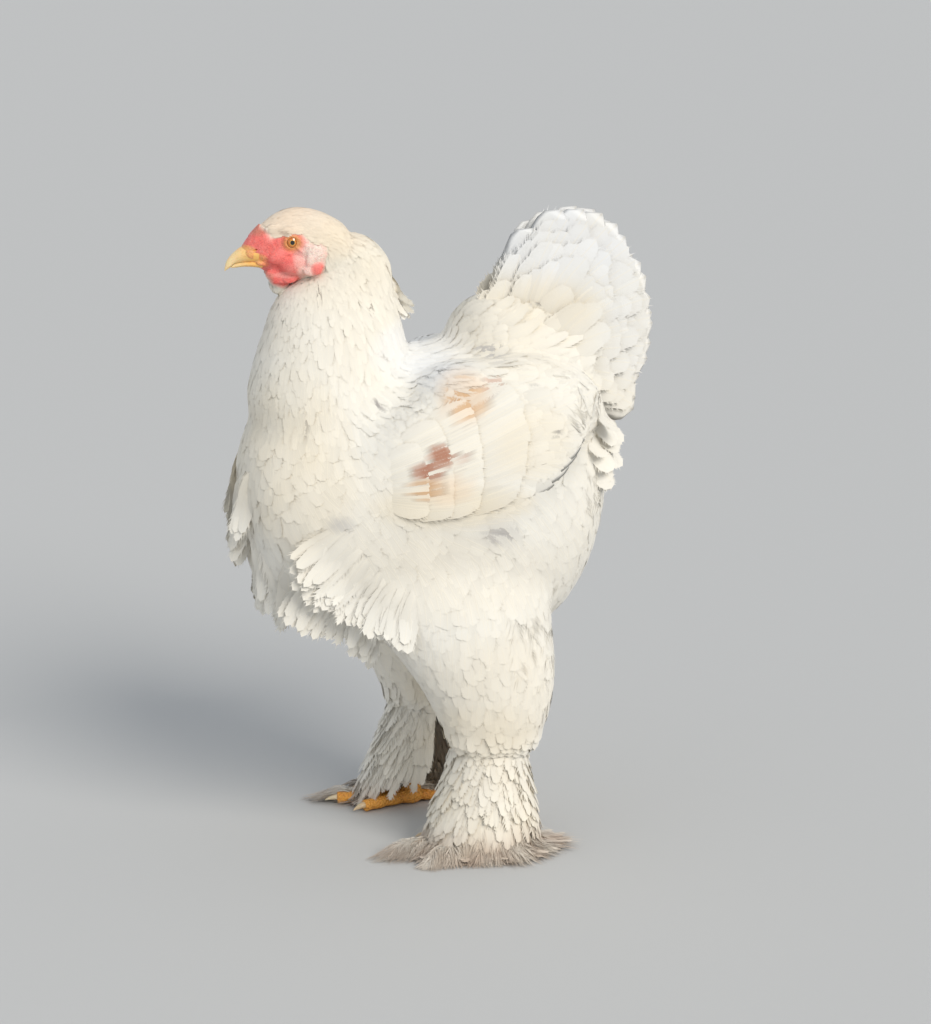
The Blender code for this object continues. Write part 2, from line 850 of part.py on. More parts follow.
def bar(start, end, radii, sides=8, count=5, ridge=0.0):
    """A closed round bar between two points, ridged across as scaly skin is."""
    start, end = Vector(start), Vector(end)
    ahead = (end - start).normalized()
    across = ahead.cross(Vector((0.01, 0.02, 1))).normalized()
    over = across.cross(ahead)
    rings = []
    for i in range(count):
        share = i / (count - 1)
        radius = between(radii, share) * (1 + (ridge if i % 2 else 0))
        middle = start.lerp(end, share)
        rings.append(
            [
                (middle + (across * math.cos(a) + over * math.sin(a)) * radius) * MM
                for a in (2 * math.pi * (k + 0.5) / sides for k in range(sides))
            ]
        )
    return loft(rings)


# Toe: turn from straight ahead, length, radius at its root and at its end
TOES = {
    "inner": (-30, 50, 7.6, 5.4),
    "middle": (0, 70, 8.2, 5.6),
    "outer": (30, 54, 7.6, 5.4),
    "back": (168, 30, 6.4, 4.6),
}
CLAW_LENGTH = 14


def toe_line(side, name):
    """Start and end of a toe's middle line, in millimetres."""
    turn, length, _, _ = TOES[name]
    x, y = foot_place(side)
    angle = math.radians(180 - side * turn - side * 6)
    ahead = Vector((math.cos(angle), math.sin(angle), 0))
    start = Vector((x, y, TOE_Z + 2.5))
    return start, start + ahead * length - Vector((0, 0, 2.5)), ahead


def shank_cores(side):
    """The scaly shank and the core of its feathers, on its outer and front sides."""
    shift = stride(side)
    x, y = foot_place(side)
    top = (HOCK[0] + shift(HOCK[1]), side * (THIGH_OUT - 6), HOCK[1])
    bone = bar(top, (x + 3, y, 10), (9.5, SHANK_RADIUS, SHANK_RADIUS, 9.5), 8, 9, 0.05)
    rows = [
        (14, x + 4, 38, 26),
        (34, x + 4, 36, 26),
        (60, x + 4, 30, 22),
        (86, x + 4, 25, 18),
        (104, x + 5, 20, 15),
    ]
    return bone, loft_along_z(rows, 10, 6, y + side * 14)


# Tiers of shank feathers: root height, count, length
SHANK_TIERS = ((86, 6, 46), (58, 7, 42))


def make_shank(cores, name, side, rng):
    """The shank from the hock to the foot, feathered down its outer and front sides."""
    bone, coat = shank_cores(side)
    x, y = foot_place(side)
    ground = Ground(coat)
    pieces = [bone, coat]
    for tier, (height, count, length) in enumerate(SHANK_TIERS):
        for i in range(count):
            angle = math.radians(-40 + 250 * (i + 0.5 * (tier % 2)) / (count - 0.5))
            out = Vector((-math.cos(angle), side * math.sin(angle), 0))
            root = point(x + 4, y + side * 14, height) + out * 40 * MM
            bend = out * (1.6 + 0.4 * rng.random()) + Vector((0, 0, -0.4))
            down = Vector((0, 0, -1))
            spots, outs = lie(ground, root, down, length, 1.4 + i % 2, 2, 0.25, bend)
            pieces.append(lock(spots, outs, 27))
    shank = fuse(f"shank_{name}", pieces)
    cut_level(shank, FOOT_SPLIT_Z + GAP / 2, keep_above=True)
    return carve(shank, [cores[f"thigh_{name}"]])


# Feathers of a toe's outer edge: toe, count, length
TOE_FANS = (("middle", 4, 56), ("outer", 5, 54))
HEEL_FEATHERS = 6


def make_foot(name, side, rng):
    """Four toes and the feathers that fan from the outer ones and from the heel."""
    x, y = foot_place(side)
    bone, coat = shank_cores(side)
    pieces = [ball((x, y, 10), (14, 12, 10.5), 10, 6), bone, coat]
    for toe, (_, _, thick, thin) in TOES.items():
        start, end, _ = toe_line(side, toe)
        pieces.append(bar(start, end, (thick, thick * 0.9, thin * 1.15, thin), 6, 7, 0.07))
    for toe, count, long in TOE_FANS:
        start, end, ahead = toe_line(side, toe)
        across = Vector((-ahead.y, ahead.x, 0))
        across *= 1 if across.y * side > 0 else -1
        for i in range(count):
            share = i / (count - 1)
            root = start.lerp(end, 0.15 + 0.8 * share)
            heading = across * (1 - 0.75 * share) + ahead * (0.35 + 0.65 * share)
            length = long * (0.75 + 0.25 * share) + 8 * rng.random()
            pieces.append(foot_feather(root, heading, length, 18, rng))
    for i in range(HEEL_FEATHERS):
        share = i / (HEEL_FEATHERS - 1)
        angle = math.radians(75 + 110 * share)
        heading = Vector((-math.cos(angle), side * math.sin(angle), 0))
        root = Vector((x + 6, y + side * 12, 12)) + heading * 24
        length = 36 + 26 * share + 8 * rng.random()
        pieces.append(foot_feather(root, heading, length, 21, rng))
    obj = fuse(f"foot_{name}", pieces)
    cut_level(obj, 0, keep_above=True)
    cut_level(obj, FOOT_SPLIT_Z - GAP / 2, keep_above=False)
    claws = claw_shells(side)
    for toe, shell in claws.items():
        finish(as_object(f"claw_{toe}_{name}", shell), "claw_horn")
    return carve(obj, claws.values())


def foot_feather(root, heading, length, width, rng):
    """A feather that leaves a toe near the floor and curves down to lie just over it."""
    heading = heading.normalized()
    spots = []
    outs = []
    lift = 5 + 5 * rng.random()
    for i in range(5):
        share = i / 4
        height = 7 + lift * math.sin(math.pi * (0.25 + 0.75 * share)) - 4.5 * share
        spot = root + heading * (length * share - 6)
        spots.append(point(spot.x, spot.y, max(height, 1.6)))
        outs.append(Vector((0, 0, 1)))
    return lock(spots, outs, width, 1.6)


def claw_shells(side):
    """A curved claw for the end of each toe."""
    made = {}
    for toe in TOES:
        start, end, ahead = toe_line(side, toe)
        radius = TOES[toe][3]
        rings = []
        for i in range(5):
            share = i / 4
            size = radius * (0.62, 0.56, 0.45, 0.28, 0.08)[i]
            middle = end + ahead * (GAP + CLAW_LENGTH * share)
            middle.z += 1.2 - 3.6 * share * share
            across = Vector((-ahead.y, ahead.x, 0))
            rings.append(
                [
                    (middle + across * size * math.cos(a) + Vector((0, 0, size)) * math.sin(a)) * MM
                    for a in (2 * math.pi * (k + 0.5) / 8 for k in range(8))
                ]
            )
        made[toe] = loft(rings)
    return made


def stand_on_origin():
    """Moves the bird so that the middle of its box's base is at the origin."""
    bpy.context.view_layer.update()
    nodes = [o for o in bpy.data.objects if o.type == "MESH"]
    corners = [v.co for o in nodes for v in o.data.vertices]
    low = Vector(min(c[i] for c in corners) for i in range(3))
    high = Vector(max(c[i] for c in corners) for i in range(3))
    middle = Vector(((low.x + high.x) / 2, (low.y + high.y) / 2, low.z))
    for obj in nodes:
        obj.data.transform(Matrix.Translation(-middle))


def main():
    clear_scene()
    rng = random.Random(SEED)
    cores = {"torso": torso_core(), "neck": neck_core(), "head": head_core()}
    cores["tail"] = tail_cores()
    for name, side in SIDES.items():
        cores[f"wing_{name}"] = wing_core(side)
        cores[f"thigh_{name}"] = thigh_core(side)
    head = make_head(cores)
    finish(head, "face_skin")
    make_face_pieces(head, cores)
    make_beak(head)
    make_eyes()
    finish(make_neck(cores), "plumage")
    finish(make_torso(cores, rng), "plumage")
    finish(make_tail(cores), "plumage")
    for name, side in SIDES.items():
        finish(make_wing(cores, name, side), "plumage")
        finish(make_thigh(cores, name, side, rng), "plumage")
        finish(make_shank(cores, name, side, rng), "plumage")
        finish(make_foot(name, side, rng), "scales")
    stand_on_origin()


main()
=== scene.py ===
"""The looks of a life-size brahma chicken model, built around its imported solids.

Sizes are in millimetres in the frame of the part's own source: the bird faces -X, its
left side is at -Y and it stands on Z = 0. They are scaled by MM, and the finished pieces
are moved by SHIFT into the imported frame.
"""

import math

import bmesh
import bpy
import numpy as np
from mathutils import Matrix, Vector, kdtree
from mathutils.bvhtree import BVHTree


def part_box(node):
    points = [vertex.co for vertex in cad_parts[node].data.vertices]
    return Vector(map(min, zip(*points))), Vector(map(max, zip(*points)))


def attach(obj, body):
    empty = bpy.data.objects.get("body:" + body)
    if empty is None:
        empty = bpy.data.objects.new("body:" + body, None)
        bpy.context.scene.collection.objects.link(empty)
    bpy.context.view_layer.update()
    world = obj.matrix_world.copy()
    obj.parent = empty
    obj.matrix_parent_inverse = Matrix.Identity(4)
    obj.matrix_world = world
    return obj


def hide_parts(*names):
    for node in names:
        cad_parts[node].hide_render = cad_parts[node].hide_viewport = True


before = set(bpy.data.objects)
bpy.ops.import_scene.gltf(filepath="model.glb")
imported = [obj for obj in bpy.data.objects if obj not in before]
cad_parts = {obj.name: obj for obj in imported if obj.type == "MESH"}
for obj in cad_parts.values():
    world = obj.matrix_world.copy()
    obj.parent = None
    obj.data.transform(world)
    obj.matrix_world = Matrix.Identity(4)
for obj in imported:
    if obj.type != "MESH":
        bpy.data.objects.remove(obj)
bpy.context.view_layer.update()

MM = 0.001
SEED = 7
SIDES = {"left": -1, "right": 1}
RNG = np.random.default_rng(SEED)

EYE = (-135.0, 15.6, 577.7)
EYE_RADIUS = 7.6
EYE_GAP = 0.25
eye_low, eye_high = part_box("eye_left")
SHIFT = (eye_low + eye_high) / 2 - Vector((EYE[0], -EYE[1], EYE[2])) * MM

# Body forms, as in the solids. Along X: x, height of the middle, rise, drop, half width
TORSO_ROWS = (
    (-190, 352, 22, 26, 28),
    (-179, 350, 56, 66, 65),
    (-156, 346, 90, 110, 91),
    (-115, 342, 112, 138, 110),
    (-60, 340, 128, 152, 120),
    (0, 342, 142, 158, 123),
    (60, 346, 138, 156, 118),
    (110, 350, 112, 138, 101),
    (142, 354, 76, 92, 75),
    (158, 356, 30, 38, 34),
)
HEAD_ROWS = (
    (-181, 565, 7, 6, 6),
    (-175, 568, 12.5, 12, 10.5),
    (-165, 572, 19.5, 20.5, 14.5),
    (-151, 575, 27.5, 32, 18.5),
    (-136, 576, 32, 38, 21.5),
    (-119, 576, 31.5, 41, 24.5),
    (-101, 573, 28.5, 40, 26),
    (-85, 569, 22, 33, 22),
    (-76, 567, 10, 18, 12),
)
# Along Z: height, x of the middle, half depth, half width
NECK_ROWS = (
    (400, -104, 70, 80),
    (432, -104, 76, 81),
    (462, -101, 73, 72),
    (492, -97, 68, 60),
    (520, -96, 60, 46),
    (538, -90, 53, 35),
    (556, -76, 37, 29),
    (573, -74, 25, 24),
    (587, -82, 13, 14),
)
THIGH_ROWS = (
    (308, 0, 72, 30),
    (285, -2, 90, 42),
    (250, 2, 95, 49),
    (215, 18, 83, 50),
    (180, 33, 71, 47),
    (148, 41, 60, 42),
    (120, 43, 50, 35),
    (100, 42, 34, 24),
)
THIGH_OUT = 76
STRIDE_TOP = 30
STRIDE_FOOT = 52
LEG_TOP_Z = 306
# How deep the coat is over each form, so how far its skin lies inside the solid
DEPTH = {"torso": 5.5, "neck": 4.5, "thigh": 5.5, "wing": 2.5, "tail": 3.5}
CROWN_DEPTH = 2.2
# Width of the step from the bare face to the skin under the head's feathers
FACE_EDGE = 4.0

WING_MIDDLE = (25, 98, 402)
WING_HALF = (114, 19, 68)
WING_PITCH = 22
WING_ROLL = 14
TAIL_ROOT = (75, 440)
TAIL_REACH = 178
TAIL_SHORTEST = 112
TAIL_LEAN = 0.12
TAIL_BEND = 8
TAIL_CORES = (((94, 0, 462), (60, 58, 56), -45), ((54, 0, 480), (48, 56, 46), 0))

HOCK = (44, 104)
ANKLE = (34, 65)
TOE_Z = 6.2
SCALES_BELOW = 112
# Toe: turn from straight ahead, length, radius at its root and at its end
TOES = {
    "inner": (-30, 50, 7.6, 5.4),
    "middle": (0, 70, 8.2, 5.6),
    "outer": (30, 54, 7.6, 5.4),
    "back": (168, 30, 6.4, 4.6),
}
CLAW_LENGTH = 14
CLAW_THICK = 0.66
CLAW_DROP = 3.8

BODY_VOXEL = 4.5
HEAD_VOXEL = 0.85
LEG_VOXEL = 1.5

BEAK_UPPER_ROWS = (
    (-196.2, 550.4, 1.0, 1.0, 1.0),
    (-194.6, 553.8, 4.2, 3.4, 2.6),
    (-191.2, 557.4, 5.6, 4.8, 4.4),
    (-187.2, 560.8, 6.2, 5.0, 6.2),
    (-181.5, 564, 7.2, 7.2, 8.8),
    (-173.5, 566, 9.0, 9.4, 12.0),
    (-165, 566, 8.0, 10.4, 14.2),
)
BEAK_LOWER_ROWS = (
    (-190.4, 553.2, 1.2, 1.0, 1.8),
    (-186.5, 554.4, 3.4, 2.0, 3.8),
    (-180, 555.6, 4.4, 2.4, 6.4),
    (-172, 556.2, 4.6, 3.0, 9.6),
    (-162, 555.6, 4.6, 3.6, 12.6),
)

# Outline of the bare face, seen from the side: x and z
FACE = (
    (-183, 572), (-178, 580), (-171, 588), (-165, 591.5), (-159.5, 588), (-154.1, 580.9),
    (-146.6, 582.9), (-137.3, 586.2), (-127.9, 585.7), (-122.5, 580.5), (-118.5, 577),
    (-113, 578.5), (-105.8, 574), (-104, 567), (-106.5, 560), (-106, 554), (-109, 548),
    (-115.5, 545), (-122, 546), (-128, 541), (-133.5, 537.3), (-142.9, 534.3),
    (-152.2, 537.3), (-158.5, 545), (-163.5, 550), (-176, 549), (-195, 545), (-200, 556),
)
# Bare comb beyond that outline: x, z, half sizes
BARE_SPOTS = ((-169, 587, 7.5, 8),)


def placed(x, y, z):
    return Vector((x, y, z)) * MM


def turned(degrees, axis):
    return Matrix.Rotation(math.radians(degrees), 4, axis)


def spline(before, start, end, after, t):
    """Catmull-Rom value at share t between start and end."""
    return start + 0.5 * t * (
        end - before
        + t * (2 * before - 5 * start + 4 * end - after)
        + t * t * (3 * (start - end) + after - before)
    )


def smooth_rows(rows, count):
    """Rows at even steps along a smooth curve through the given rows."""
    last = len(rows) - 1
    made = []
    for step in range(count):
        place = step * last / (count - 1)
        i = min(int(place), last - 1)
        four = rows[max(i - 1, 0)], rows[i], rows[i + 1], rows[min(i + 2, last)]
        made.append([spline(*values, place - i) for values in zip(*four)])
    return made


def draw(low, high):
    """A random value between two, from the script's own seeded draws."""
    return low + (high - low) * RNG.random()


def clamped(share):
    return min(max(share, 0), 1)


def shares(count):
    """Even shares from 0 to 1."""
    return [i / (count - 1) for i in range(count)]


def between(values, t):
    """The value at share t along evenly spaced values."""
    place = clamped(t) * (len(values) - 1)
    i = min(int(place), len(values) - 2)
    return values[i] + (values[i + 1] - values[i]) * (place - i)


def stride(side):
    """How far a leg is shifted along X at a height, as a function of the height."""
    if side < 0:
        return lambda z: 0
    step = STRIDE_FOOT - STRIDE_TOP
    return lambda z: -(STRIDE_TOP + step * (1 - min(z, LEG_TOP_Z) / LEG_TOP_Z))


# Shapes

def loft(count, sides, place):
    """Rings bridged into a closed shell. place(i, angle) gives a ring's point."""
    shell = bmesh.new()
    rings = []
    for i in range(count):
        ring = bmesh.ops.create_circle(shell, segments=sides, radius=1)["verts"]
        for k, vert in enumerate(ring):
            vert.co = place(i, 2 * math.pi * (k + 0.5) / sides) * MM
        rings.append(ring)

    def edges_of(ring):
        inside = set(ring)
        return [e for e in {e for v in ring for e in v.link_edges} if set(e.verts) <= inside]

    for low, high in zip(rings, rings[1:]):
        bmesh.ops.bridge_loops(shell, edges=edges_of(low) + edges_of(high))
    for ring in (rings[0], rings[-1]):
        bmesh.ops.contextual_create(shell, geom=ring)
    bmesh.ops.recalc_face_normals(shell, faces=shell.faces)
    return shell


def loft_x(rows, sides, count):
    made = smooth_rows(rows, count)

    def place(i, angle):
        x, z, rise, drop, half = made[i]
        tall = rise if math.sin(angle) > 0 else drop
        return Vector((x, half * math.cos(angle), z + tall * math.sin(angle)))

    return loft(count, sides, place)


def loft_z(rows, sides, count, y=0, shift=lambda z: 0):
    made = smooth_rows(rows, count)

    def place(i, angle):
        z, x, depth, half = made[i]
        along = x + shift(z) + depth * math.cos(angle)
        return Vector((along, y + half * math.sin(angle), z))

    return loft(count, sides, place)


def tube(count, middle, sides, flat=1.0):
    """A closed round bar. middle(share) gives its middle line and its radius."""
    points, radii = zip(*(middle(share) for share in shares(count)))
    last = count - 1

    def place(i, angle):
        ahead = (points[min(i + 1, last)] - points[max(i - 1, 0)]).normalized()
        across = ahead.cross(Vector((0.01, 0.02, 1))).normalized()
        over = across.cross(ahead)
        spoke = across * math.cos(angle) + over * math.sin(angle) * flat
        return points[i] + spoke * radii[i]

    return loft(len(points), sides, place)


def ball(middle, half, sides=20, rings=12, turn=None):
    shell = bmesh.new()
    bmesh.ops.create_uvsphere(shell, u_segments=sides, v_segments=rings, radius=1)
    place = Matrix.Translation(placed(*middle)) @ (turn or Matrix.Identity(4))
    place = place @ Matrix.Diagonal((*(h * MM for h in half), 1))
    bmesh.ops.transform(shell, matrix=place, verts=shell.verts)
    return shell


def torus(middle, radius, thick, squash, turn):
    """A closed ring, such as a lid, squashed in height."""
    shell = bmesh.new()
    bmesh.ops.create_circle(shell, segments=10, radius=thick * MM)
    out = (radius * MM, 0, 0)
    bmesh.ops.translate(shell, verts=shell.verts, vec=out)
    upright = Matrix.Rotation(math.pi / 2, 3, "X")
    bmesh.ops.rotate(shell, verts=shell.verts, cent=out, matrix=upright)
    everything = shell.verts[:] + shell.edges[:]
    bmesh.ops.spin(
        shell, geom=everything, angle=2 * math.pi, steps=28, axis=(0, 0, 1), use_merge=True
    )
    bmesh.ops.remove_doubles(shell, verts=shell.verts, dist=0.001 * MM)
    bmesh.ops.recalc_face_normals(shell, faces=shell.faces)
    place = Matrix.Translation(placed(*middle)) @ turn @ Matrix.Diagonal((1, squash, 1, 1))
    bmesh.ops.transform(shell, matrix=place, verts=shell.verts)
    return shell


def moved_in(shell, depth):
    """Moves a shell's points in along their normals."""
    shell.normal_update()
    for vert in shell.verts:
        vert.co -= vert.normal * depth * MM
    return shell


def joined(shells):
    """One bmesh holding all the shells."""
    whole = bmesh.new()
    for shell in shells:
        mesh = bpy.data.meshes.new("part")
        shell.to_mesh(mesh)
        whole.from_mesh(mesh)
        shell.free()
        bpy.data.meshes.remove(mesh)
    return whole


def linked(name, data):
    """A new object in the scene, made of a mesh, a lamp or a camera."""
    obj = bpy.data.objects.new(name, data)
    bpy.context.scene.collection.objects.link(obj)
    return obj


def as_object(name, shell):
    mesh = bpy.data.meshes.new(name)
    shell.to_mesh(mesh)
    shell.free()
    return linked(name, mesh)


def mesh_points(mesh):
    """All points of a mesh, in millimetres."""
    points = np.empty(len(mesh.vertices) * 3)
    mesh.vertices.foreach_get("co", points)
    return points.reshape(-1, 3) / MM


def applied(obj):
    """Replaces an object's mesh by what its modifiers give, and drops the modifiers."""
    bpy.context.view_layer.update()
    graph = bpy.context.evaluated_depsgraph_get()
    mesh = bpy.data.meshes.new_from_object(obj.evaluated_get(graph))
    obj.modifiers.clear()
    old = obj.data
    obj.data = mesh
    bpy.data.meshes.remove(old)
    return obj


def remeshed(name, shells, voxel, smoothing):
    """The overlapping shells as one closed skin of even faces."""
    obj = as_object(name, joined(shells))
    step = obj.modifiers.new("remesh", "REMESH")
    step.mode = "VOXEL"
    step.voxel_size = voxel * MM
    applied(obj)
    shell = bmesh.new()
    shell.from_mesh(obj.data)
    for _ in range(smoothing):
        bmesh.ops.smooth_vert(
            shell, verts=shell.verts, factor=0.5, use_axis_x=True, use_axis_y=True, use_axis_z=True
        )
    shell.to_mesh(obj.data)
    shell.free()
    return obj


def boolean(obj, operation, others):
    for other in others:
        step = obj.modifiers.new(operation.lower(), "BOOLEAN")
        step.operation = operation
        step.object = other
        step.solver = "MANIFOLD"
    applied(obj)
    for other in others:
        bpy.data.objects.remove(other)
    return obj


# Finishes

class Wire:
    """An output socket that takes part in sums."""

    def __init__(self, finish, socket):
        self.finish = finish
        self.socket = socket

    def sum(self, operation, first, second):
        return self.finish.node("Math", {"operation": operation}, {0: first, 1: second})

    def __add__(self, other):
        return self.sum("ADD", self, other)

    def __sub__(self, other):
        return self.sum("SUBTRACT", self, other)

    def __rsub__(self, other):
        return self.sum("SUBTRACT", other, self)

    def __mul__(self, other):
        return self.sum("MULTIPLY", self, other)

    __radd__ = __add__
    __rmul__ = __mul__


class Finish:
    """A Principled material and the nodes that feed it."""

    def __init__(self, name, **constants):
        self.material = bpy.data.materials.new(name)
        self.material.use_nodes = True
        self.tree = self.material.node_tree
        self.shader = self.tree.nodes["Principled BSDF"]
        for key, value in constants.items():
            self.shader.inputs[key.replace("_", " ")].default_value = value

    def node(self, kind, settings=None, values=None, output=0):
        """Any node: its settings first, then the values or links of its sockets."""
        made = self.tree.nodes.new("ShaderNode" + kind)
        for key, value in (settings or {}).items():
            setattr(made, key, value)
        for key, value in (values or {}).items():
            if isinstance(value, Wire):
                self.tree.links.new(value.socket, made.inputs[key])
            else:
                made.inputs[key].default_value = value
        return Wire(self, made.outputs[output])

    def place(self):
        return self.node("TexCoord", output=3)

    def parts(self, vector):
        """The three numbers of a vector."""
        made = self.node("SeparateXYZ", values={0: vector})
        outputs = made.socket.node.outputs
        return [Wire(self, socket) for socket in outputs]

    def value(self, name):
        return self.node("Attribute", {"attribute_name": name}, output=2)

    def colour(self, name):
        return self.node("Attribute", {"attribute_name": name}, output=0)

    def mix(self, factor, first, second):
        """A colour between two, each a wire or three numbers."""
        colours = [c if isinstance(c, Wire) else (*c, 1) for c in (first, second)]
        return self.node("Mix", {"data_type": "RGBA"}, {0: factor, 6: colours[0], 7: colours[1]}, 2)

    def step(self, value, low, high):
        """Smooth 0 to 1 as the value goes from low to high."""
        return self.node("MapRange", {"interpolation_type": "SMOOTHSTEP"}, {0: value, 1: low, 2: high})

    def noise(self, scale, detail=3, place=None):
        values = {"Vector": place or self.place(), "Scale": scale, "Detail": detail}
        return self.node("TexNoise", values=values)

    def bump(self, height, strength, distance):
        values = {"Height": height, "Strength": strength, "Distance": distance}
        self.feed("Normal", self.node("Bump", values=values))

    def feed(self, socket, wire):
        self.tree.links.new(wire.socket, self.shader.inputs[socket])


def skin_finish():
    """Bare skin, scaly legs, and the pale skin under the feathers."""
    made = Finish("bare_skin", Subsurface_Weight=0.12, Subsurface_Scale=0.004)
    made.shader.inputs["Subsurface Radius"].default_value = (1.0, 0.3, 0.2)
    bare, scaly = made.value("Bare"), made.value("Scaly")
    fine = made.noise(1100, 2)
    coarse = made.noise(330, 3)
    plates = made.node("TexVoronoi", values={"Vector": made.place(), "Scale": 420})
    tint = made.mix(made.step(fine, 0.42, 0.72) * bare * 0.4, made.colour("Marking"), (0.36, 0.02, 0.02))
    tint = made.mix(made.step(coarse, 0.5, 0.75) * bare * 0.35, tint, (0.9, 0.34, 0.29))
    tint = made.mix(made.step(plates, 0.5, 0.9) * scaly * 0.55, tint, (0.36, 0.12, 0.02))
    made.feed("Base Color", tint)
    made.feed("Roughness", 0.8 - bare * 0.32 - scaly * 0.3)
    height = (fine * 0.55 + coarse * 0.9) * bare + (1 - plates) * scaly * 1.4
    made.bump(height, 0.8, 0.0012)
    return made.material


VANE_RELIEF = 0.0004


def feather_finish(name, barbs):
    """White vanes with fine barbs that slant from the shaft to the edge."""
    made = Finish(name, Sheen_Weight=0.15, Sheen_Roughness=0.6)
    made.shader.inputs["Specular IOR Level"].default_value = 0.2
    along, across, _ = made.parts(made.node("UVMap", {"uv_map": "Vane"}))
    side = made.node("Math", {"operation": "ABSOLUTE"}, {0: across - 0.5})
    line = made.node("Math", {"operation": "SINE"}, {0: (along - side * 0.45) * barbs})
    shaft = 1 - made.step(side, 0.006, 0.03)
    patch = made.noise(170, 3)
    grain = made.noise(900, 2)
    tint = made.mix(made.step(line, -1.0, 1.0) * 0.03, made.colour("Marking"), (0.66, 0.57, 0.44))
    tint = made.mix(made.step(patch, 0.5, 0.85) * 0.15, tint, (0.74, 0.70, 0.62))
    tint = made.mix(shaft * 0.2, tint, (0.90, 0.80, 0.60))
    ragged = made.step(side + (grain - 0.5) * 0.3, 0.2, 0.06)
    streak = made.node("Attribute", {"attribute_name": "Streak"}, output=3)
    tint = made.mix(streak * ragged, tint, made.colour("Streak"))
    made.feed("Base Color", tint)
    made.feed("Roughness", 0.72 + patch * 0.2)
    made.bump(line * 0.12 + shaft * 0.5 + grain * 0.8, 0.25, VANE_RELIEF)
    return made.material


def horn_finish(name, base, tip, base_x, tip_x):
    """Horn whose colour runs from its base to its tip along X, in metres."""
    made = Finish(name, Subsurface_Weight=0.1, Subsurface_Scale=0.003, Coat_Weight=0.15)
    x = made.parts(made.place())[0]
    grain = made.noise(700, 3, made.node("Mapping", values={0: made.place(), 3: (0.35, 1, 1.6)}))
    share = made.step(x, base_x, tip_x)
    tint = made.mix(share, base, tip)
    tint = made.mix(made.step(grain, 0.45, 0.75) * 0.35, tint, tuple(c * 0.62 for c in base))
    made.feed("Base Color", tint)
    made.feed("Roughness", 0.34 + grain * 0.25)
    made.bump(grain, 0.25, 0.0005)
    return made.material


def eye_finish():
    """Black pupil, orange iris with a paler inner ring, dark rim."""
    made = Finish("eye", Roughness=0.04, Coat_Weight=1.0, Coat_Roughness=0.02)
    x, _, z = made.parts(made.place())
    middle = Vector((EYE[0], 0, EYE[2])) * MM + SHIFT
    dx, dz = x - middle.x, z - middle.z
    far = made.node("Math", {"operation": "SQRT"}, {0: dx * dx + dz * dz}) * (1 / MM)
    rays = made.noise(1500, 2)
    iris = made.mix(made.step(rays, 0.35, 0.7) * 0.6, (0.66, 0.2, 0.02), (0.36, 0.085, 0.01))
    tint = made.mix(made.step(far, 1.9, 2.25), (0.004, 0.003, 0.003), (0.78, 0.42, 0.07))
    tint = made.mix(made.step(far, 2.2, 3.0), tint, iris)
    tint = made.mix(made.step(far, 4.2, 4.9), tint, (0.07, 0.02, 0.006))
    tint = made.mix(made.step(far, 5.0, 6.0), tint, (0.5, 0.36, 0.18))
    made.feed("Base Color", tint)
    return made.material


def floor_finish():
    made = Finish("floor", Roughness=0.9)
    made.shader.inputs["Base Color"].default_value = (0.55, 0.545, 0.53, 1)
    return made.material


def finished(obj, material, nodes=()):
    """Gives a piece its finish, puts it in the frame, ties it to the root and hides the solids that it
    stands for.
    """
    obj.data.materials.clear()
    obj.data.materials.append(material)
    obj.data.transform(Matrix.Translation(SHIFT))
    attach(obj, "root")
    if nodes:
        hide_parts(*nodes)
    return obj


# Colours, as linear red, green and blue

WHITE = np.array((0.85, 0.82, 0.745))
COOL = np.array((0.84, 0.845, 0.85))
CREAM = np.array((0.85, 0.755, 0.585))
PALE_CREAM = np.array((0.86, 0.79, 0.66))
BUFF = np.array((0.85, 0.635, 0.44))
UNDER = np.array((0.78, 0.72, 0.60))
RED = np.array((0.98, 0.20, 0.165))
DEEP_RED = np.array((0.88, 0.11, 0.10))
PINK = np.array((0.98, 0.42, 0.36))
PALE_SKIN = np.array((0.95, 0.70, 0.60))
COMB_RED = np.array((0.66, 0.24, 0.16))
YELLOW = np.array((0.95, 0.50, 0.16))
LID = np.array((0.76, 0.36, 0.09))
ORANGE = np.array((0.84, 0.38, 0.06))
DEEP_ORANGE = np.array((0.62, 0.20, 0.03))
STAIN = np.array((0.40, 0.26, 0.17))
GREY = np.array((0.50, 0.48, 0.46))

# Soft tints of the plumage: x, z, half sizes, colour, strength
TINTS = (
    (-120, 596, 66, 34, BUFF, 0.85),
    (-82, 560, 56, 44, CREAM, 0.75),
    (-105, 505, 80, 50, PALE_CREAM, 0.7),
    (-145, 385, 55, 75, CREAM, 0.85),
    (-80, 330, 80, 60, PALE_CREAM, 0.5),
    (-20, 478, 45, 26, COOL, 0.8),
    (118, 585, 90, 55, COOL, 0.9),
    (180, 510, 34, 70, COOL, 0.5),
    (70, 500, 75, 40, PALE_CREAM, 0.8),
    (100, 520, 45, 24, CREAM, 0.4),
    (12, 405, 60, 36, PALE_CREAM, 0.5),
    (0, 350, 70, 20, CREAM, 0.9),
    (75, 405, 34, 32, CREAM, 0.6),
    (0, 280, 90, 40, PALE_CREAM, 0.5),
    (35, 165, 60, 60, PALE_CREAM, 0.8),
    (30, 125, 50, 30, CREAM, 0.7),
    (36, 50, 80, 50, CREAM, 0.6),
    (12, 447, 24, 22, BUFF, 0.8),
    (-8, 366, 24, 14, BUFF, 0.6),
    (43, 322, 20, 16, GREY, 0.35),
    (-101, 333, 12, 7, GREY, 0.7),
)
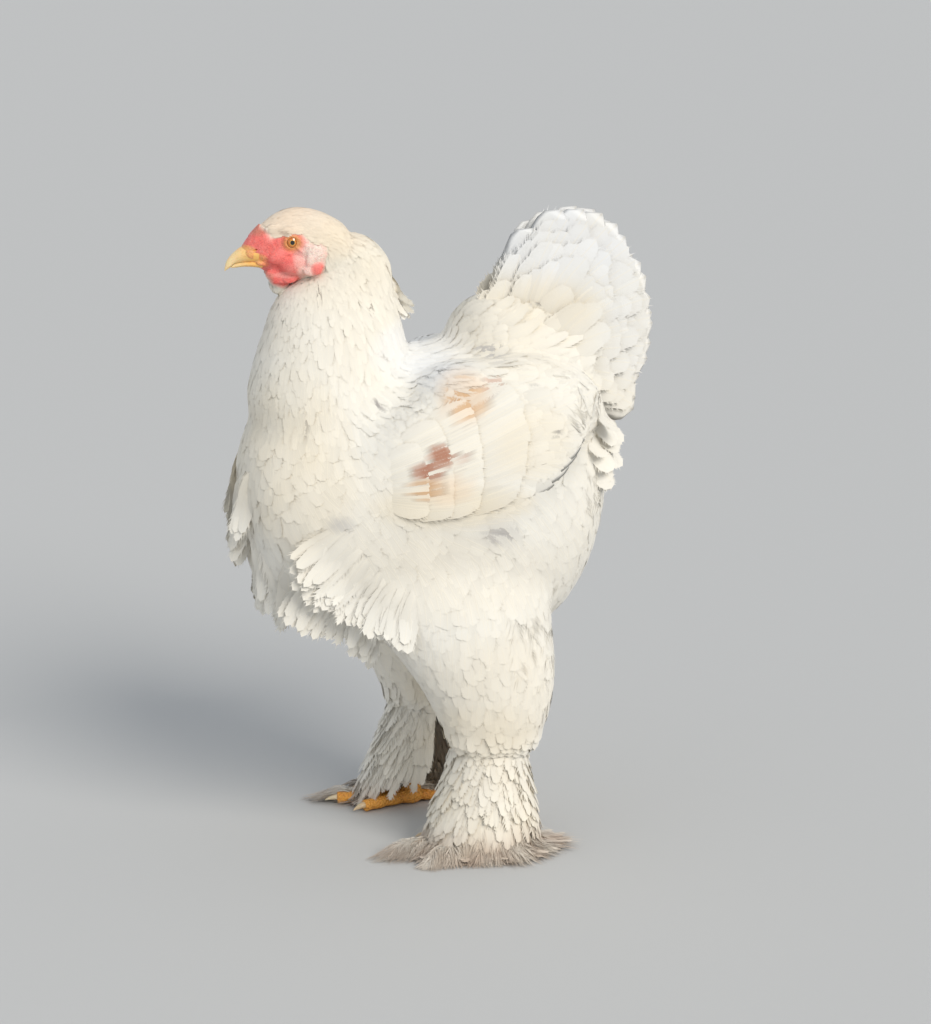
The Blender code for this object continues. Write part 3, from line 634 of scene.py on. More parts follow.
# Streaks along the middle of some feathers: x, z, half sizes, colour, strength, share of feathers
STREAKS = (
    (12, 445, 17, 19, (0.68, 0.42, 0.22), 0.85, 0.55),
    (-12, 397, 13, 11, (0.42, 0.16, 0.085), 0.9, 0.75),
    (-24, 383, 15, 8, (0.40, 0.15, 0.08), 0.9, 0.75),
    (39, 456, 11, 9, (0.56, 0.33, 0.24), 0.65, 0.6),
    (5, 397, 9, 6, (0.56, 0.35, 0.28), 0.6, 0.6),
    (-27, 367, 16, 10, (0.60, 0.35, 0.17), 0.8, 0.7),
    (82, 449, 5, 2.5, (0.22, 0.20, 0.20), 0.8, 0.9),
    (98, 413, 3, 3, (0.22, 0.20, 0.20), 0.7, 0.9),
    (-62, 436, 6, 4, (0.22, 0.20, 0.20), 0.8, 0.8),
    (94, 518, 10, 2.4, (0.26, 0.24, 0.23), 0.8, 0.7),
    (42, 479, 15, 6, (0.42, 0.40, 0.39), 0.7, 0.6),
    (45, 320, 14, 8, (0.30, 0.28, 0.28), 0.6, 0.6),
    (-112, 528, 2.2, 14, (0.25, 0.20, 0.16), 0.8, 0.5),
    (-65, 521, 2.2, 10, (0.25, 0.20, 0.16), 0.7, 0.5),
    (-130, 422, 2.2, 15, (0.25, 0.21, 0.17), 0.8, 0.5),
)
# Tints of the bare face, with a painted highlight line over the jaw and painted shade under the throat: x,
# z, half sizes, colour, strength
FACE_SPOTS = (
    (-120, 562, 13, 20, PALE_SKIN, 0.75),
    (-126, 566, 9, 10, PINK, 0.6),
    (-114, 568, 11, 11, np.array((0.96, 0.80, 0.68)), 0.95),
    (-121, 549, 9, 8, PALE_SKIN, 0.6),
    (-112, 553, 6.5, 6.5, RED, 0.9),
    (-176, 569, 8, 5, YELLOW, 0.9),
    (-168, 562, 10, 5, YELLOW, 0.75),
    (-164, 557, 8, 3.5, YELLOW, 0.6),
    (-166, 591, 10, 8, COMB_RED, 0.85),
    (-135, 577.7, 10, 9, np.array((0.86, 0.28, 0.11)), 0.7),
    (-135, 577.7, 7.4, 6.8, LID, 0.85),
    (-150, 556, 12, 8, DEEP_RED, 0.35),
    (-146, 541, 16, 4, DEEP_RED, 0.35),
    # Painted highlight: a thin pink line along the top of the jaw
    (-141, 547, 12, 3, PINK, 0.6),
    # Painted shade: a brown spot on the throat under the beak
    (-158, 544, 6, 6, np.array((0.50, 0.30, 0.22)), 0.5),
)


def waves(places, scale):
    """Smooth seeded variation from -1 to 1 over places in millimetres."""
    turns = ((1.0, 0.7, 0.4), (-0.6, 1.1, 0.8), (0.5, -0.9, 1.2), (1.3, 0.4, -0.7))
    total = 0
    for i, turn in enumerate(turns):
        total = total + np.sin(places @ np.array(turn) / scale + 1.7 * i)
    return total / len(turns)


def spot(places, x, z, half_x, half_z):
    """1 in the middle of a spot seen from the side, falling smoothly to 0 at its edge."""
    far = ((places[:, 0] - x) / half_x) ** 2 + ((places[:, 2] - z) / half_z) ** 2
    return np.clip(1.35 - far, 0, 1) ** 0.7 * (far < 1.35)


def blend(colours, other, share):
    share = np.asarray(share)[:, None]
    return colours * (1 - share) + np.asarray(other) * share


def plumage_colour(places):
    """The plumage's colour at its roots, in millimetres."""
    share = 0.14 + 0.12 * waves(places, 28)
    colours = blend(np.tile(WHITE, (len(places), 1)), CREAM, share)
    for x, z, half_x, half_z, colour, strength in TINTS:
        ragged = 0.75 + 0.25 * waves(places, 9)
        colours = blend(colours, colour, spot(places, x, z, half_x, half_z) * strength * ragged)
    return colours


def inside_outline(x, z, outline):
    """Whether points seen from the side lie inside an outline."""
    inside = np.zeros(len(x), bool)
    for (ax, az), (bx, bz) in zip(outline, outline[1:] + outline[:1]):
        crosses = (az > z) != (bz > z)
        at = ax + (z - az) / (bz - az + 1e-9) * (bx - ax)
        inside ^= crosses & (x < at)
    return inside


def outline_distance(x, z, outline):
    """Distance to the nearest edge of an outline."""
    best = np.full(len(x), 1e9)
    for (ax, az), (bx, bz) in zip(outline, outline[1:] + outline[:1]):
        dx, dz = bx - ax, bz - az
        t = np.clip(((x - ax) * dx + (z - az) * dz) / (dx * dx + dz * dz), 0, 1)
        best = np.minimum(best, np.hypot(x - ax - t * dx, z - az - t * dz))
    return best


def bareness(places, soft=2.0):
    """1 on the bare skin of the face, 0 under feathers."""
    x, z = places[:, 0], places[:, 2]
    far = outline_distance(x, z, FACE) * np.where(inside_outline(x, z, FACE), 1, -1)
    share = np.clip(0.5 + far / soft / 2, 0, 1)
    for cx, cz, half_x, half_z in BARE_SPOTS:
        near = ((x - cx) / half_x) ** 2 + ((z - cz) / half_z) ** 2
        near = near + (places[:, 1] / 9) ** 2
        share = np.maximum(share, np.clip((1.25 - near) * 3, 0, 1))
    return share * (x < -100)


# Forms of flesh

# Bridges over the clefts above the wings: middle, half sizes
FILLERS = (((70, 60, 440), (50, 34, 34)), ((20, 70, 446), (50, 32, 26)), ((110, 56, 425), (34, 34, 36)))


def wing_turn(side):
    return turned(side * WING_ROLL, "X") @ turned(-WING_PITCH, "Y")


def body_shells():
    """Torso, neck, wings, tail's root and thighs, each moved in by its coat's depth."""
    shells = [moved_in(loft_x(TORSO_ROWS, 40, 26), DEPTH["torso"])]
    shells.append(moved_in(loft_z(NECK_ROWS, 32, 24), DEPTH["neck"]))
    for middle, half, lean in TAIL_CORES:
        shells.append(moved_in(ball(middle, half, 24, 14, turned(lean, "Y")), DEPTH["tail"]))
    for (x, y, z), half in FILLERS:
        shells += [ball((x, side * y, z), half, 20, 12) for side in SIDES.values()]
    for side in SIDES.values():
        x, y, z = WING_MIDDLE
        wing = ball((x, side * y, z), WING_HALF, 32, 16, wing_turn(side))
        shells.append(moved_in(wing, DEPTH["wing"]))
        thigh = loft_z(THIGH_ROWS, 28, 20, side * THIGH_OUT, stride(side))
        shells.append(moved_in(thigh, DEPTH["thigh"]))
    return shells


# Swellings of the face on one side: middle, half sizes, turn about Y in degrees
FACE_FORMS = (
    ((-136, 16.5, 588.7), (14, 6.5, 5.5), 0),
    ((-131, 15.5, 557.7), (17, 9.0, 11), 0),
    ((-146, 16.0, 564), (12, 6.5, 7), -18),
    ((-139, 19.0, 567.0), (9, 3.4, 1.7), -8),
    ((-141, 18.6, 562.4), (11, 3.4, 1.8), -14),
    ((-137, 20.6, 586.2), (9.5, 2.0, 1.3), 6),
    ((-128, 21.5, 570.4), (6, 2.6, 1.7), 38),
    ((-162, 10.8, 557.2), (6, 3.0, 2.2), 8),
    ((-158, 11.5, 566), (8, 5.0, 6), -20),
    ((-163, 8.6, 577), (8, 5.0, 5), 35),
    ((-146, 11.5, 546), (15, 3.2, 8), 0),
    ((-151, 11.0, 541.5), (7, 2.8, 4.5), 0),
    ((-138, 13.2, 543.5), (8, 2.6, 5), 10),
    ((-114.0, 23.9, 568), (8.4, 2.4, 9.2), 0),
    ((-118.5, 24.2, 562), (4.5, 2.2, 8), 12),
    ((-112.5, 24.6, 553), (5.8, 2.4, 6.2), 0),
    ((-119.0, 24.0, 551), (6.5, 2.0, 5.0), 0),
    ((-147, 12.5, 587), (14, 6.5, 7.5), 14),
    ((-170, 9.0, 566), (8, 4.0, 5.5), 10),
)
NOSTRIL = (-168.5, 13.0, 570.0)
NOSTRIL_HALF = (2.4, 3.0, 0.75)
NOSTRIL_LEAN = -24
COMB_ROWS = ((0, 6, 1.7), (-3.2, 5, 1.4), (3.2, 5, 1.4))
COMB_FRONT = (-174, 577)
COMB_SPAN = (8, 9)
# Lids: place from the eye along X, out from the middle and up from the eye; radius,
# thickness and height for width
LIDS = (((0, 21.4, 0.2), 6.3, 1.25, 0.9), ((0.4, 20.5, 0), 8.4, 1.0, 0.92))
CHIN = ((-146, 0, 540), (12, 9, 15))


def head_shells():
    """The head with brows, cheeks, folds, lids, lobes, wattles and the pea comb."""
    shells = [loft_x(HEAD_ROWS, 48, 40), ball(*CHIN)]
    for side in SIDES.values():
        for (x, y, z), half, turn in FACE_FORMS:
            shells.append(ball((x, side * y, z), half, 24, 14, turned(turn, "Y")))
        face_out = turned(90 - 6 * side, "X")
        for (ahead, out, up), radius, thick, squash in LIDS:
            middle = EYE[0] + ahead, side * out, EYE[2] + up
            shells.append(torus(middle, radius, thick, squash, face_out))
    for across, count, radius in COMB_ROWS:
        for share in shares(count):
            x = COMB_FRONT[0] + COMB_SPAN[0] * share
            z = COMB_FRONT[1] + COMB_SPAN[1] * math.sin(share * math.pi / 2) - 0.3 * abs(across)
            size = radius * (0.85 + 0.35 * math.sin(math.pi * share) + 0.12 * RNG.random())
            y = across + draw(-0.25, 0.25)
            shells.append(ball((x, y, z), (size, size * 0.95, size * 1.3), 14, 9))
    return shells


def foot_place(side):
    return ANKLE[0] - 4 + stride(side)(0), side * ANKLE[1]


def toe_line(side, name):
    """Start, end and direction of a toe's middle line."""
    turn, length, _, _ = TOES[name]
    x, y = foot_place(side)
    angle = math.radians(180 - side * turn - side * 6)
    ahead = Vector((math.cos(angle), math.sin(angle), 0))
    start = Vector((x, y, TOE_Z + 2.5))
    return start, start + ahead * length - Vector((0, 0, 2.5)), ahead


# Shank and toes: radii from hock to ankle, scutes and how high they stand
SHANK_RADII = (11.5, 8.4, 7.4, 7.4, 8.2, 9.6)
SHANK_PLATES = 15
SHANK_RIPPLE = 0.35
FOOT_PAD = (13, 12, 9.2)
TOE_PLATE = 6
TOE_RIPPLE = 0.45
TOE_JOINTS = 0.07


def shank_line(side):
    shift = stride(side)
    x, y = foot_place(side)
    top = Vector((HOCK[0] + shift(HOCK[1]) - 2, side * (THIGH_OUT - 6), HOCK[1] + 14))
    return top, Vector((x + 3, y, 9))


def leg_shells(side):
    """Shank and toes with their raised scutes."""
    top, foot = shank_line(side)

    def shank(share):
        ripple = SHANK_RIPPLE * abs(math.sin(math.pi * SHANK_PLATES * share))
        return top.lerp(foot, share), between(SHANK_RADII, share) + ripple

    shells = [tube(40, shank, 20), ball((foot.x, foot.y, FOOT_PAD[2] + 0.2), FOOT_PAD)]
    for name, (_, _, thick, thin) in TOES.items():
        start, end, _ = toe_line(side, name)
        plates = 5 + int((end - start).length / TOE_PLATE)

        def toe(share):
            middle = start.lerp(end, share)
            middle.z += 0.3
            joint = TOE_JOINTS * math.cos(6 * math.pi * share)
            scute = TOE_RIPPLE * abs(math.sin(math.pi * plates * share))
            radius = between((thick, thick * 0.92, thin * 1.15, thin * 1.08, thin), share)
            size = radius * (1 + joint) + scute
            return middle, min(size, middle.z - 0.15) if middle.z < size else size

        shells.append(tube(34, toe, 18))
    return shells


def unwrapped(shells):
    """A coarse skin with an unwrap of its own shape, from which tufts take their places."""
    obj = remeshed("unwrap", shells, 9, 1)
    bpy.context.view_layer.objects.active = obj
    obj.select_set(True)
    bpy.ops.object.mode_set(mode="EDIT")
    bpy.ops.mesh.select_all(action="SELECT")
    bpy.ops.uv.smart_project(angle_limit=math.radians(66), island_margin=0.004)
    bpy.ops.object.mode_set(mode="OBJECT")
    shell = bmesh.new()
    shell.from_mesh(obj.data)
    layer = shell.loops.layers.uv.active
    middles = [sum((l[layer].uv for l in f.loops), Vector((0, 0))) / len(f.loops) for f in shell.faces]
    tree = BVHTree.FromBMesh(shell)
    shell.free()
    bpy.data.objects.remove(obj)
    return tree, np.array([tuple(m) for m in middles])


def cutters(name, middle, half, sides, rings, turn=None):
    """A ball on each side, to be cut from the head."""
    x, out, z = middle
    return [
        as_object(name, ball((x, side * out, z), half, sides, rings, turn))
        for side in SIDES.values()
    ]


def make_skin():
    """One closed skin for all the flesh, fine at the head and the feet."""
    skin = remeshed("skin", body_shells(), BODY_VOXEL, 14)
    head = remeshed("head_skin", head_shells(), HEAD_VOXEL, 2)
    places = mesh_points(head.data)
    normals = np.array([v.normal for v in head.data.vertices])
    bare = bareness(places, FACE_EDGE)
    places -= normals * (CROWN_DEPTH * (1 - bare))[:, None]
    head.data.vertices.foreach_set("co", (places * MM).ravel())
    sockets = cutters("socket", EYE, (EYE_RADIUS + EYE_GAP,) * 3, 32, 20)
    nostrils = cutters("nostril", NOSTRIL, NOSTRIL_HALF, 20, 12, turned(NOSTRIL_LEAN, "Y"))
    boolean(head, "DIFFERENCE", sockets + nostrils)
    legs = [remeshed("leg_skin", leg_shells(side), LEG_VOXEL, 1) for side in SIDES.values()]
    boolean(skin, "UNION", [head, *legs])
    return skin


def skin_colours(places):
    """Colour, bareness and scaliness of the skin."""
    bare = bareness(places)
    colours = blend(plumage_colour(places), UNDER, np.full(len(places), 0.25))
    face = blend(np.tile(RED, (len(places), 1)), PINK, np.clip(waves(places, 3.2) + 0.2, 0, 1) * 0.35)
    face = blend(face, DEEP_RED, np.clip(waves(places + 7, 2.1), 0, 1) * 0.3)
    for x, z, half_x, half_z, colour, strength in FACE_SPOTS:
        face = blend(face, colour, spot(places, x, z, half_x, half_z) * strength)
    colours = blend(colours, face, bare)
    scaly = np.where(places[:, 2] < SCALES_BELOW, 1.0, 0.0)
    scales = blend(np.tile(ORANGE, (len(places), 1)), DEEP_ORANGE, np.clip(waves(places, 6), 0, 1) * 0.4)
    return np.clip(blend(colours, scales, scaly), 0, 1), bare, scaly


# Feathers

# Steps of a feather's middle line, and the share of its length at each
STEPS = 5
STEP_SHARES = [k / STEPS for k in range(STEPS + 1)]


def outline(along, round_from, root=0.25, swell=0.3):
    """Half width of a vane at a share of its length."""
    rise = min(1, root + (1 - root) * along / swell)
    late = max(0, along - round_from) / (1 - round_from)
    return rise * math.sqrt(max(0, 1 - late * late))


def as_arrays(shell, closed=False):
    """A feather's points (along, across, up) and its triangles.

    The triangles of an open vane all face up.
    """
    bmesh.ops.triangulate(shell, faces=shell.faces)
    shell.verts.index_update()
    points = np.array([v.co for v in shell.verts])
    faces = np.array([[v.index for v in f.verts] for f in shell.faces])
    shell.free()
    if not closed:
        flat = points[:, :2][faces]
        first, second = flat[:, 1] - flat[:, 0], flat[:, 2] - flat[:, 0]
        down = first[:, 0] * second[:, 1] - first[:, 1] * second[:, 0] < 0
        faces[down] = faces[down][:, ::-1]
    return points, faces


def soft_vane(rows, barbs, round_from, split, slant, ragged, curl, seed):
    """A soft vane with loose barbs along its edge.

    split is how far out the barbs part, ragged how unlike their lengths are, and curl
    how far their ends turn up or down.
    """
    luck = np.random.default_rng(seed)
    shell = bmesh.new()
    ends = 0.92

    def half(along):
        return outline(along, round_from) * split * (1 + 0.05 * math.sin(23 * along + seed))

    def leaf(*corners):
        shell.faces.new([shell.verts.new(c) for c in corners])

    lines = []
    for i in range(rows + 1):
        along = i / rows * ends
        wide = half(along)
        edge, sag = along + 0.04, -0.12 * wide * wide
        row = (edge, -wide, sag), (along, 0, 0.05), (edge, wide, sag)
        lines.append([shell.verts.new(c) for c in row])
    for low, high in zip(lines, lines[1:]):
        shell.faces.new((low[0], high[0], high[1], low[1]))
        shell.faces.new((low[1], high[1], high[2], low[2]))
    end = shell.verts.new((1.0, 0.03 * (luck.random() - 0.5), 0))
    shell.faces.new((lines[-1][0], end, lines[-1][1]))
    shell.faces.new((lines[-1][1], end, lines[-1][2]))
    for side in (-1, 1):
        for k in range(barbs):
            along = 0.1 + 0.84 * (k + luck.random()) / barbs
            wide = half(along)
            reach = (outline(along, round_from) - wide) * (1 + ragged * (luck.random() * 2 - 1)) + wide
            base = 0.022 + 0.012 * luck.random()
            ahead = along + slant * (1.1 - 0.6 * along)
            height = -0.2 * reach ** 2 + curl * (luck.random() - 0.42)
            foot = wide * 0.8
            sag = -0.1 * foot * foot
            near, far = (along - base, side * foot, sag), (along + base, side * foot, sag)
            leaf(near, far, (ahead, side * reach, height))
    for k in range(3):
        place = (k - 1 + 0.4 * (luck.random() - 0.5)) * 0.28
        far = 1.0 + 0.06 * luck.random() - abs(place) * 0.3
        tip = (far, place * 1.5, -0.06 + curl * (luck.random() - 0.4))
        leaf((0.88, place - 0.06, 0), (0.88, place + 0.06, 0), tip)
    return as_arrays(shell)


def downy(barbs, curl, seed):
    """A loose feather whose thin barbs stand apart all the way to its shaft."""
    luck = np.random.default_rng(seed)
    shell = bmesh.new()
    for i in range(barbs):
        for side in (-1, 1):
            along = (i + 0.5 * luck.random()) / barbs * 0.88
            gap = 0.030 + 0.014 * luck.random()
            reach = max(outline(along, 0.5, 0.35), 0.3) * (0.7 + 0.55 * luck.random())
            ahead = along + 0.2 + 0.2 * reach
            bend = curl * (luck.random() - 0.4)
            points = (
                (along, 0, 0.02),
                (along + 0.1, side * reach * 0.5, 0.3 * bend),
                (along + 0.1 + gap, side * reach * 0.48, 0.3 * bend),
                (ahead, side * reach, bend - 0.1 * reach),
            )
            root, low, high, tip = (shell.verts.new(p) for p in points)
            shell.faces.new((root, high, low))
            shell.faces.new((low, high, tip))
    middle = [shell.verts.new((x, y, 0.03)) for x, y in ((0, -0.05), (0, 0.05), (1, 0))]
    shell.faces.new(middle)
    return as_arrays(shell)


def flight(along_count, half_count, round_from, thick, seed):
    """A closed stiff vane with a raised shaft, its edge slightly notched."""
    luck = np.random.default_rng(seed)
    shell = bmesh.new()
    bmesh.ops.create_grid(shell, x_segments=along_count, y_segments=2 * half_count, size=1)
    notch = [1 - 0.05 * luck.random() - (0.05 if i % 3 == 1 else 0) for i in range(along_count + 1)]
    for vert in shell.verts:
        share = (vert.co.x + 1) / 2
        across = vert.co.y
        edge = abs(across) > 0.999
        wide = max(outline(share, round_from, 0.3, 0.25), 0.02)
        wide *= notch[round(share * along_count)] if edge and 0.1 < share < 0.97 else 1
        ahead = share + 0.06 * abs(across) * (1 - share)
        vert.co = (ahead, across * wide, -0.16 * (across * wide) ** 2)
    shell.verts.index_update()
    top = list(shell.faces)
    copy = bmesh.ops.duplicate(shell, geom=shell.verts[:] + shell.edges[:] + top)
    under = [g for g in copy["geom"] if isinstance(g, bmesh.types.BMVert)]
    flipped = [g for g in copy["geom"] if isinstance(g, bmesh.types.BMFace)]
    bmesh.ops.reverse_faces(shell, faces=flipped)
    lower = set(under)
    for vert in shell.verts:
        if vert.is_boundary:
            continue
        sunk = thick * (0.4 + 0.6 * math.exp(-((vert.co.y / 0.12) ** 2)))
        vert.co.z += -sunk if vert in lower else sunk
    bmesh.ops.remove_doubles(shell, verts=shell.verts, dist=0.0001)
    return as_arrays(shell, True)


# Kinds of feathers: maker, how many of a kind, their first seed and the maker's values
MAKERS = {
    "tiny": (soft_vane, 3, 0, (3, 4, 0.45, 0.62, 0.3, 0.3, 0.2)),
    "small": (soft_vane, 4, 10, (4, 7, 0.45, 0.64, 0.3, 0.3, 0.16)),
    "body": (soft_vane, 5, 20, (5, 13, 0.5, 0.8, 0.2, 0.3, 0.1)),
    "hackle": (soft_vane, 4, 30, (5, 12, 0.3, 0.7, 0.18, 0.35, 0.1)),
    "fan": (soft_vane, 4, 90, (8, 20, 0.55, 0.86, 0.14, 0.35, 0.08)),
    "loose": (soft_vane, 4, 40, (6, 26, 0.4, 0.5, 0.12, 0.6, 0.22)),
    "down": (downy, 5, 50, (13, 0.35)),
    "plume": (downy, 5, 60, (16, 0.3)),
    "flight": (flight, 3, 70, (16, 3, 0.8, 0.02)),
}
KINDS = {
    kind: [maker(*values, seed + i) for i in range(count)]
    for kind, (maker, count, seed, values) in MAKERS.items()
}
# How deep a feather's root sits in the skin
ROOT_SUNK = 1.2
# Width of a feather's patch on the unwrap
PATCH = 0.003
# Nothing of a feather comes closer to the floor
FLOOR_GAP = 0.4
# How far along its middle line a feather's barbs may reach
LONGEST_POINT = 1.25


def bent(points, line, outs, widths, rolls):
    """A feather's points bent along middle lines, with its own and the coat's normals."""
    share = np.clip(points[:, 0], 0, LONGEST_POINT) * STEPS
    low = np.minimum(share.astype(int), STEPS - 1)
    part = (share - low)[None, :, None]
    start, end = line[:, low], line[:, low + 1]
    middle = start + (end - start) * part
    ahead = end - start
    ahead /= np.linalg.norm(ahead, axis=2, keepdims=True) + 1e-9
    up = outs[:, low] * (1 - np.clip(part, 0, 1)) + outs[:, low + 1] * np.clip(part, 0, 1)
    across = np.cross(up, ahead)
    across /= np.linalg.norm(across, axis=2, keepdims=True) + 1e-9
    up = np.cross(ahead, across)
    cos, sin = np.cos(rolls)[:, None, None], np.sin(rolls)[:, None, None]
    across, up = across * cos + up * sin, up * cos - across * sin
    half = widths[:, None, None] * 0.5
    made = middle + across * (points[None, :, 1:2] * half) + up * (points[None, :, 2:3] * half)
    made[:, :, 2] = np.maximum(made[:, :, 2], FLOOR_GAP)
    return made, up, outs[:, low]


class Coat:
    """Feathers gathered under piece names, to be made meshes at the end."""

    def __init__(self, skin_tree, unwrap):
        self.tree = skin_tree
        self.unwrap_tree, self.unwrap_middles = unwrap
        self.stock = {}

    def lie(self, roots, headings, lengths, heights, profile, follow=1.0, free=None):
        """Middle lines over the skin: points and outward directions for each feather.

        profile gives the share of its height that a feather has at each step. Past the
        share follow of its length a feather leaves the skin and turns towards free.
        """
        count = len(roots)
        spots = np.zeros((count, STEPS + 1, 3))
        outs = np.zeros((count, STEPS + 1, 3))
        for j in range(count):
            foot, normal, _, _ = self.tree.find_nearest(Vector(roots[j]) * MM)
            heading = Vector(headings[j])
            heading = (heading - normal * heading.dot(normal)).normalized()
            step = heading * (lengths[j] * MM / STEPS)
            spots[j, 0] = foot - normal * ROOT_SUNK * MM
            outs[j, 0] = normal
            spot = foot
            for i in range(1, STEPS + 1):
                share = i / STEPS
                spot = spot + step
                if share <= follow:
                    near, flat, _, _ = self.tree.find_nearest(spot)
                    normal = (flat + normal).normalized()
                    spot = near + flat * (heights[j] * profile[i] * MM)
                    heading = (heading - normal * heading.dot(normal)).normalized()
                elif free is not None:
                    heading = (heading + Vector(free[j]) / STEPS).normalized()
                    normal = (normal - heading * normal.dot(heading)).normalized()
                step = heading * (lengths[j] * MM / STEPS)
                spots[j, i] = spot
                outs[j, i] = normal
        return spots / MM, outs

    def add(self, piece, kind, spots, outs, widths, roots=None, paint=None, roll=5.0, soft=0.75):
        """Bends feathers of a kind along middle lines and keeps them for the piece."""
        if not len(spots):
            return
        roots = spots[:, 0] if roots is None else roots
        shapes = KINDS[kind]
        choice = RNG.integers(0, len(shapes), len(spots))
        rolls = np.radians(roll) * (RNG.random(len(spots)) * 2 - 1)
        for k, (points, faces) in enumerate(shapes):
            pick = np.nonzero(choice == k)[0]
            if not len(pick):
                continue
            made, up, out = bent(points, spots[pick], outs[pick], widths[pick], rolls[pick])
            smooth = None if kind == "flight" else out * soft + up * (1 - soft)
            tint, streak = self.painted(made, points, paint)
            patch = self.patches(roots[pick], points)
            vane = np.stack([points[:, 0], points[:, 1] * 0.5 + 0.5], 1)
            vane = np.broadcast_to(vane, (len(pick), *vane.shape))
            batch = (made, faces, tint, streak, vane, patch, smooth)
            self.stock.setdefault(piece, []).append(batch)

    def patches(self, roots, points):
        """A patch 0.003 across for each feather, at its root's place on the unwrap."""
        middles = np.empty((len(roots), 2))
        for j, root in enumerate(roots):
            _, _, face, _ = self.unwrap_tree.find_nearest(Vector(root) * MM)
            middles[j] = self.unwrap_middles[face]
        shape = np.stack([points[:, 0] - 0.5, points[:, 1] * 0.5], 1) * PATCH
        return middles[:, None] + shape[None]

    def painted(self, made, points, paint):
        """Colours of all points from the markings at their places, with painted shade towards each
        feather's root, and the streaks' share.
        """
        flat = made.reshape(-1, 3)
        base = plumage_colour(flat).reshape(made.shape)
        along, across = points[:, 0], np.abs(points[:, 1])
        # Painted shade: each feather is darker towards its root, under the feathers that overlap it, and a
        # little darker towards its edges
        root_shade = 0.93 + 0.08 * np.clip(along, 0, 1) - 0.03 * across
        base = base * root_shade[None, :, None]
        base = base * (1 + 0.035 * (RNG.random(len(made)) * 2 - 1))[:, None, None]
        streaks = np.zeros((*made.shape[:2], 4))
        for x, z, half_x, half_z, colour, strength, share in STREAKS:
            near = spot(flat, x, z, half_x, half_z).reshape(made.shape[:2]) * strength
            near = near * (RNG.random(len(made)) < share)[:, None]
            more = near > streaks[:, :, 3]
            streaks[more, :3] = colour
            streaks[:, :, 3] = np.maximum(streaks[:, :, 3], near)
        if paint:
            base = paint(base, made, along, across)
        return np.clip(base, 0, 1), streaks

    def pieces(self, material_of):
        """Makes a mesh of each piece's feathers."""
        for piece, parts in self.stock.items():
            finished(feather_mesh(piece, parts), material_of(piece))


def rows_of(arrays):
    """All rows of some arrays as one table."""
    return np.concatenate([values.reshape(-1, values.shape[-1]) for values in arrays])


def painted_mesh(mesh, colours, **attributes):
    """Gives a mesh its markings, and any other attribute, and smooth shading."""
    rgba = np.concatenate([colours, np.ones((len(colours), 1))], 1)
    for name, values in {"Marking": rgba, **attributes}.items():
        kind, key = ("FLOAT_COLOR", "color") if values.ndim > 1 else ("FLOAT", "value")
        made = mesh.attributes.new(name, kind, "POINT")
        made.data.foreach_set(key, values.astype(np.float32).ravel())
    mesh.shade_smooth()


def feather_mesh(name, parts):
    """One mesh from batches of like feathers."""
    made, shapes, tints, streaks, vanes, patches, smooth = zip(*parts)
    points = rows_of(made) * MM
    faces, start = [], 0
    for feathers, shape in zip(made, shapes):
        count, size = feathers.shape[:2]
        faces.append(shape[None] + start + np.arange(count)[:, None, None] * size)
        start += count * size
    faces = rows_of(faces)
    mesh = bpy.data.meshes.new(name)
    mesh.vertices.add(len(points))
    mesh.loops.add(faces.size)
    mesh.polygons.add(len(faces))
    mesh.vertices.foreach_set("co", points.ravel().astype(np.float32))
    mesh.loops.foreach_set("vertex_index", faces.ravel().astype(np.int32))
    mesh.polygons.foreach_set("loop_start", np.arange(0, faces.size, 3, dtype=np.int32))
    mesh.update(calc_edges=True)
    for layer, values in (("OFBake", patches), ("Vane", vanes)):
        corners = rows_of(values)[faces.ravel()]
        mesh.uv_layers.new(name=layer).uv.foreach_set("vector", corners.ravel().astype(np.float32))
    painted_mesh(mesh, rows_of(tints), Streak=rows_of(streaks))
    if smooth[0] is not None:
        normals = rows_of(smooth)
        normals /= np.linalg.norm(normals, axis=1, keepdims=True) + 1e-9
        mesh.normals_split_custom_set_from_vertices(normals.astype(np.float32))
    return linked(name, mesh)


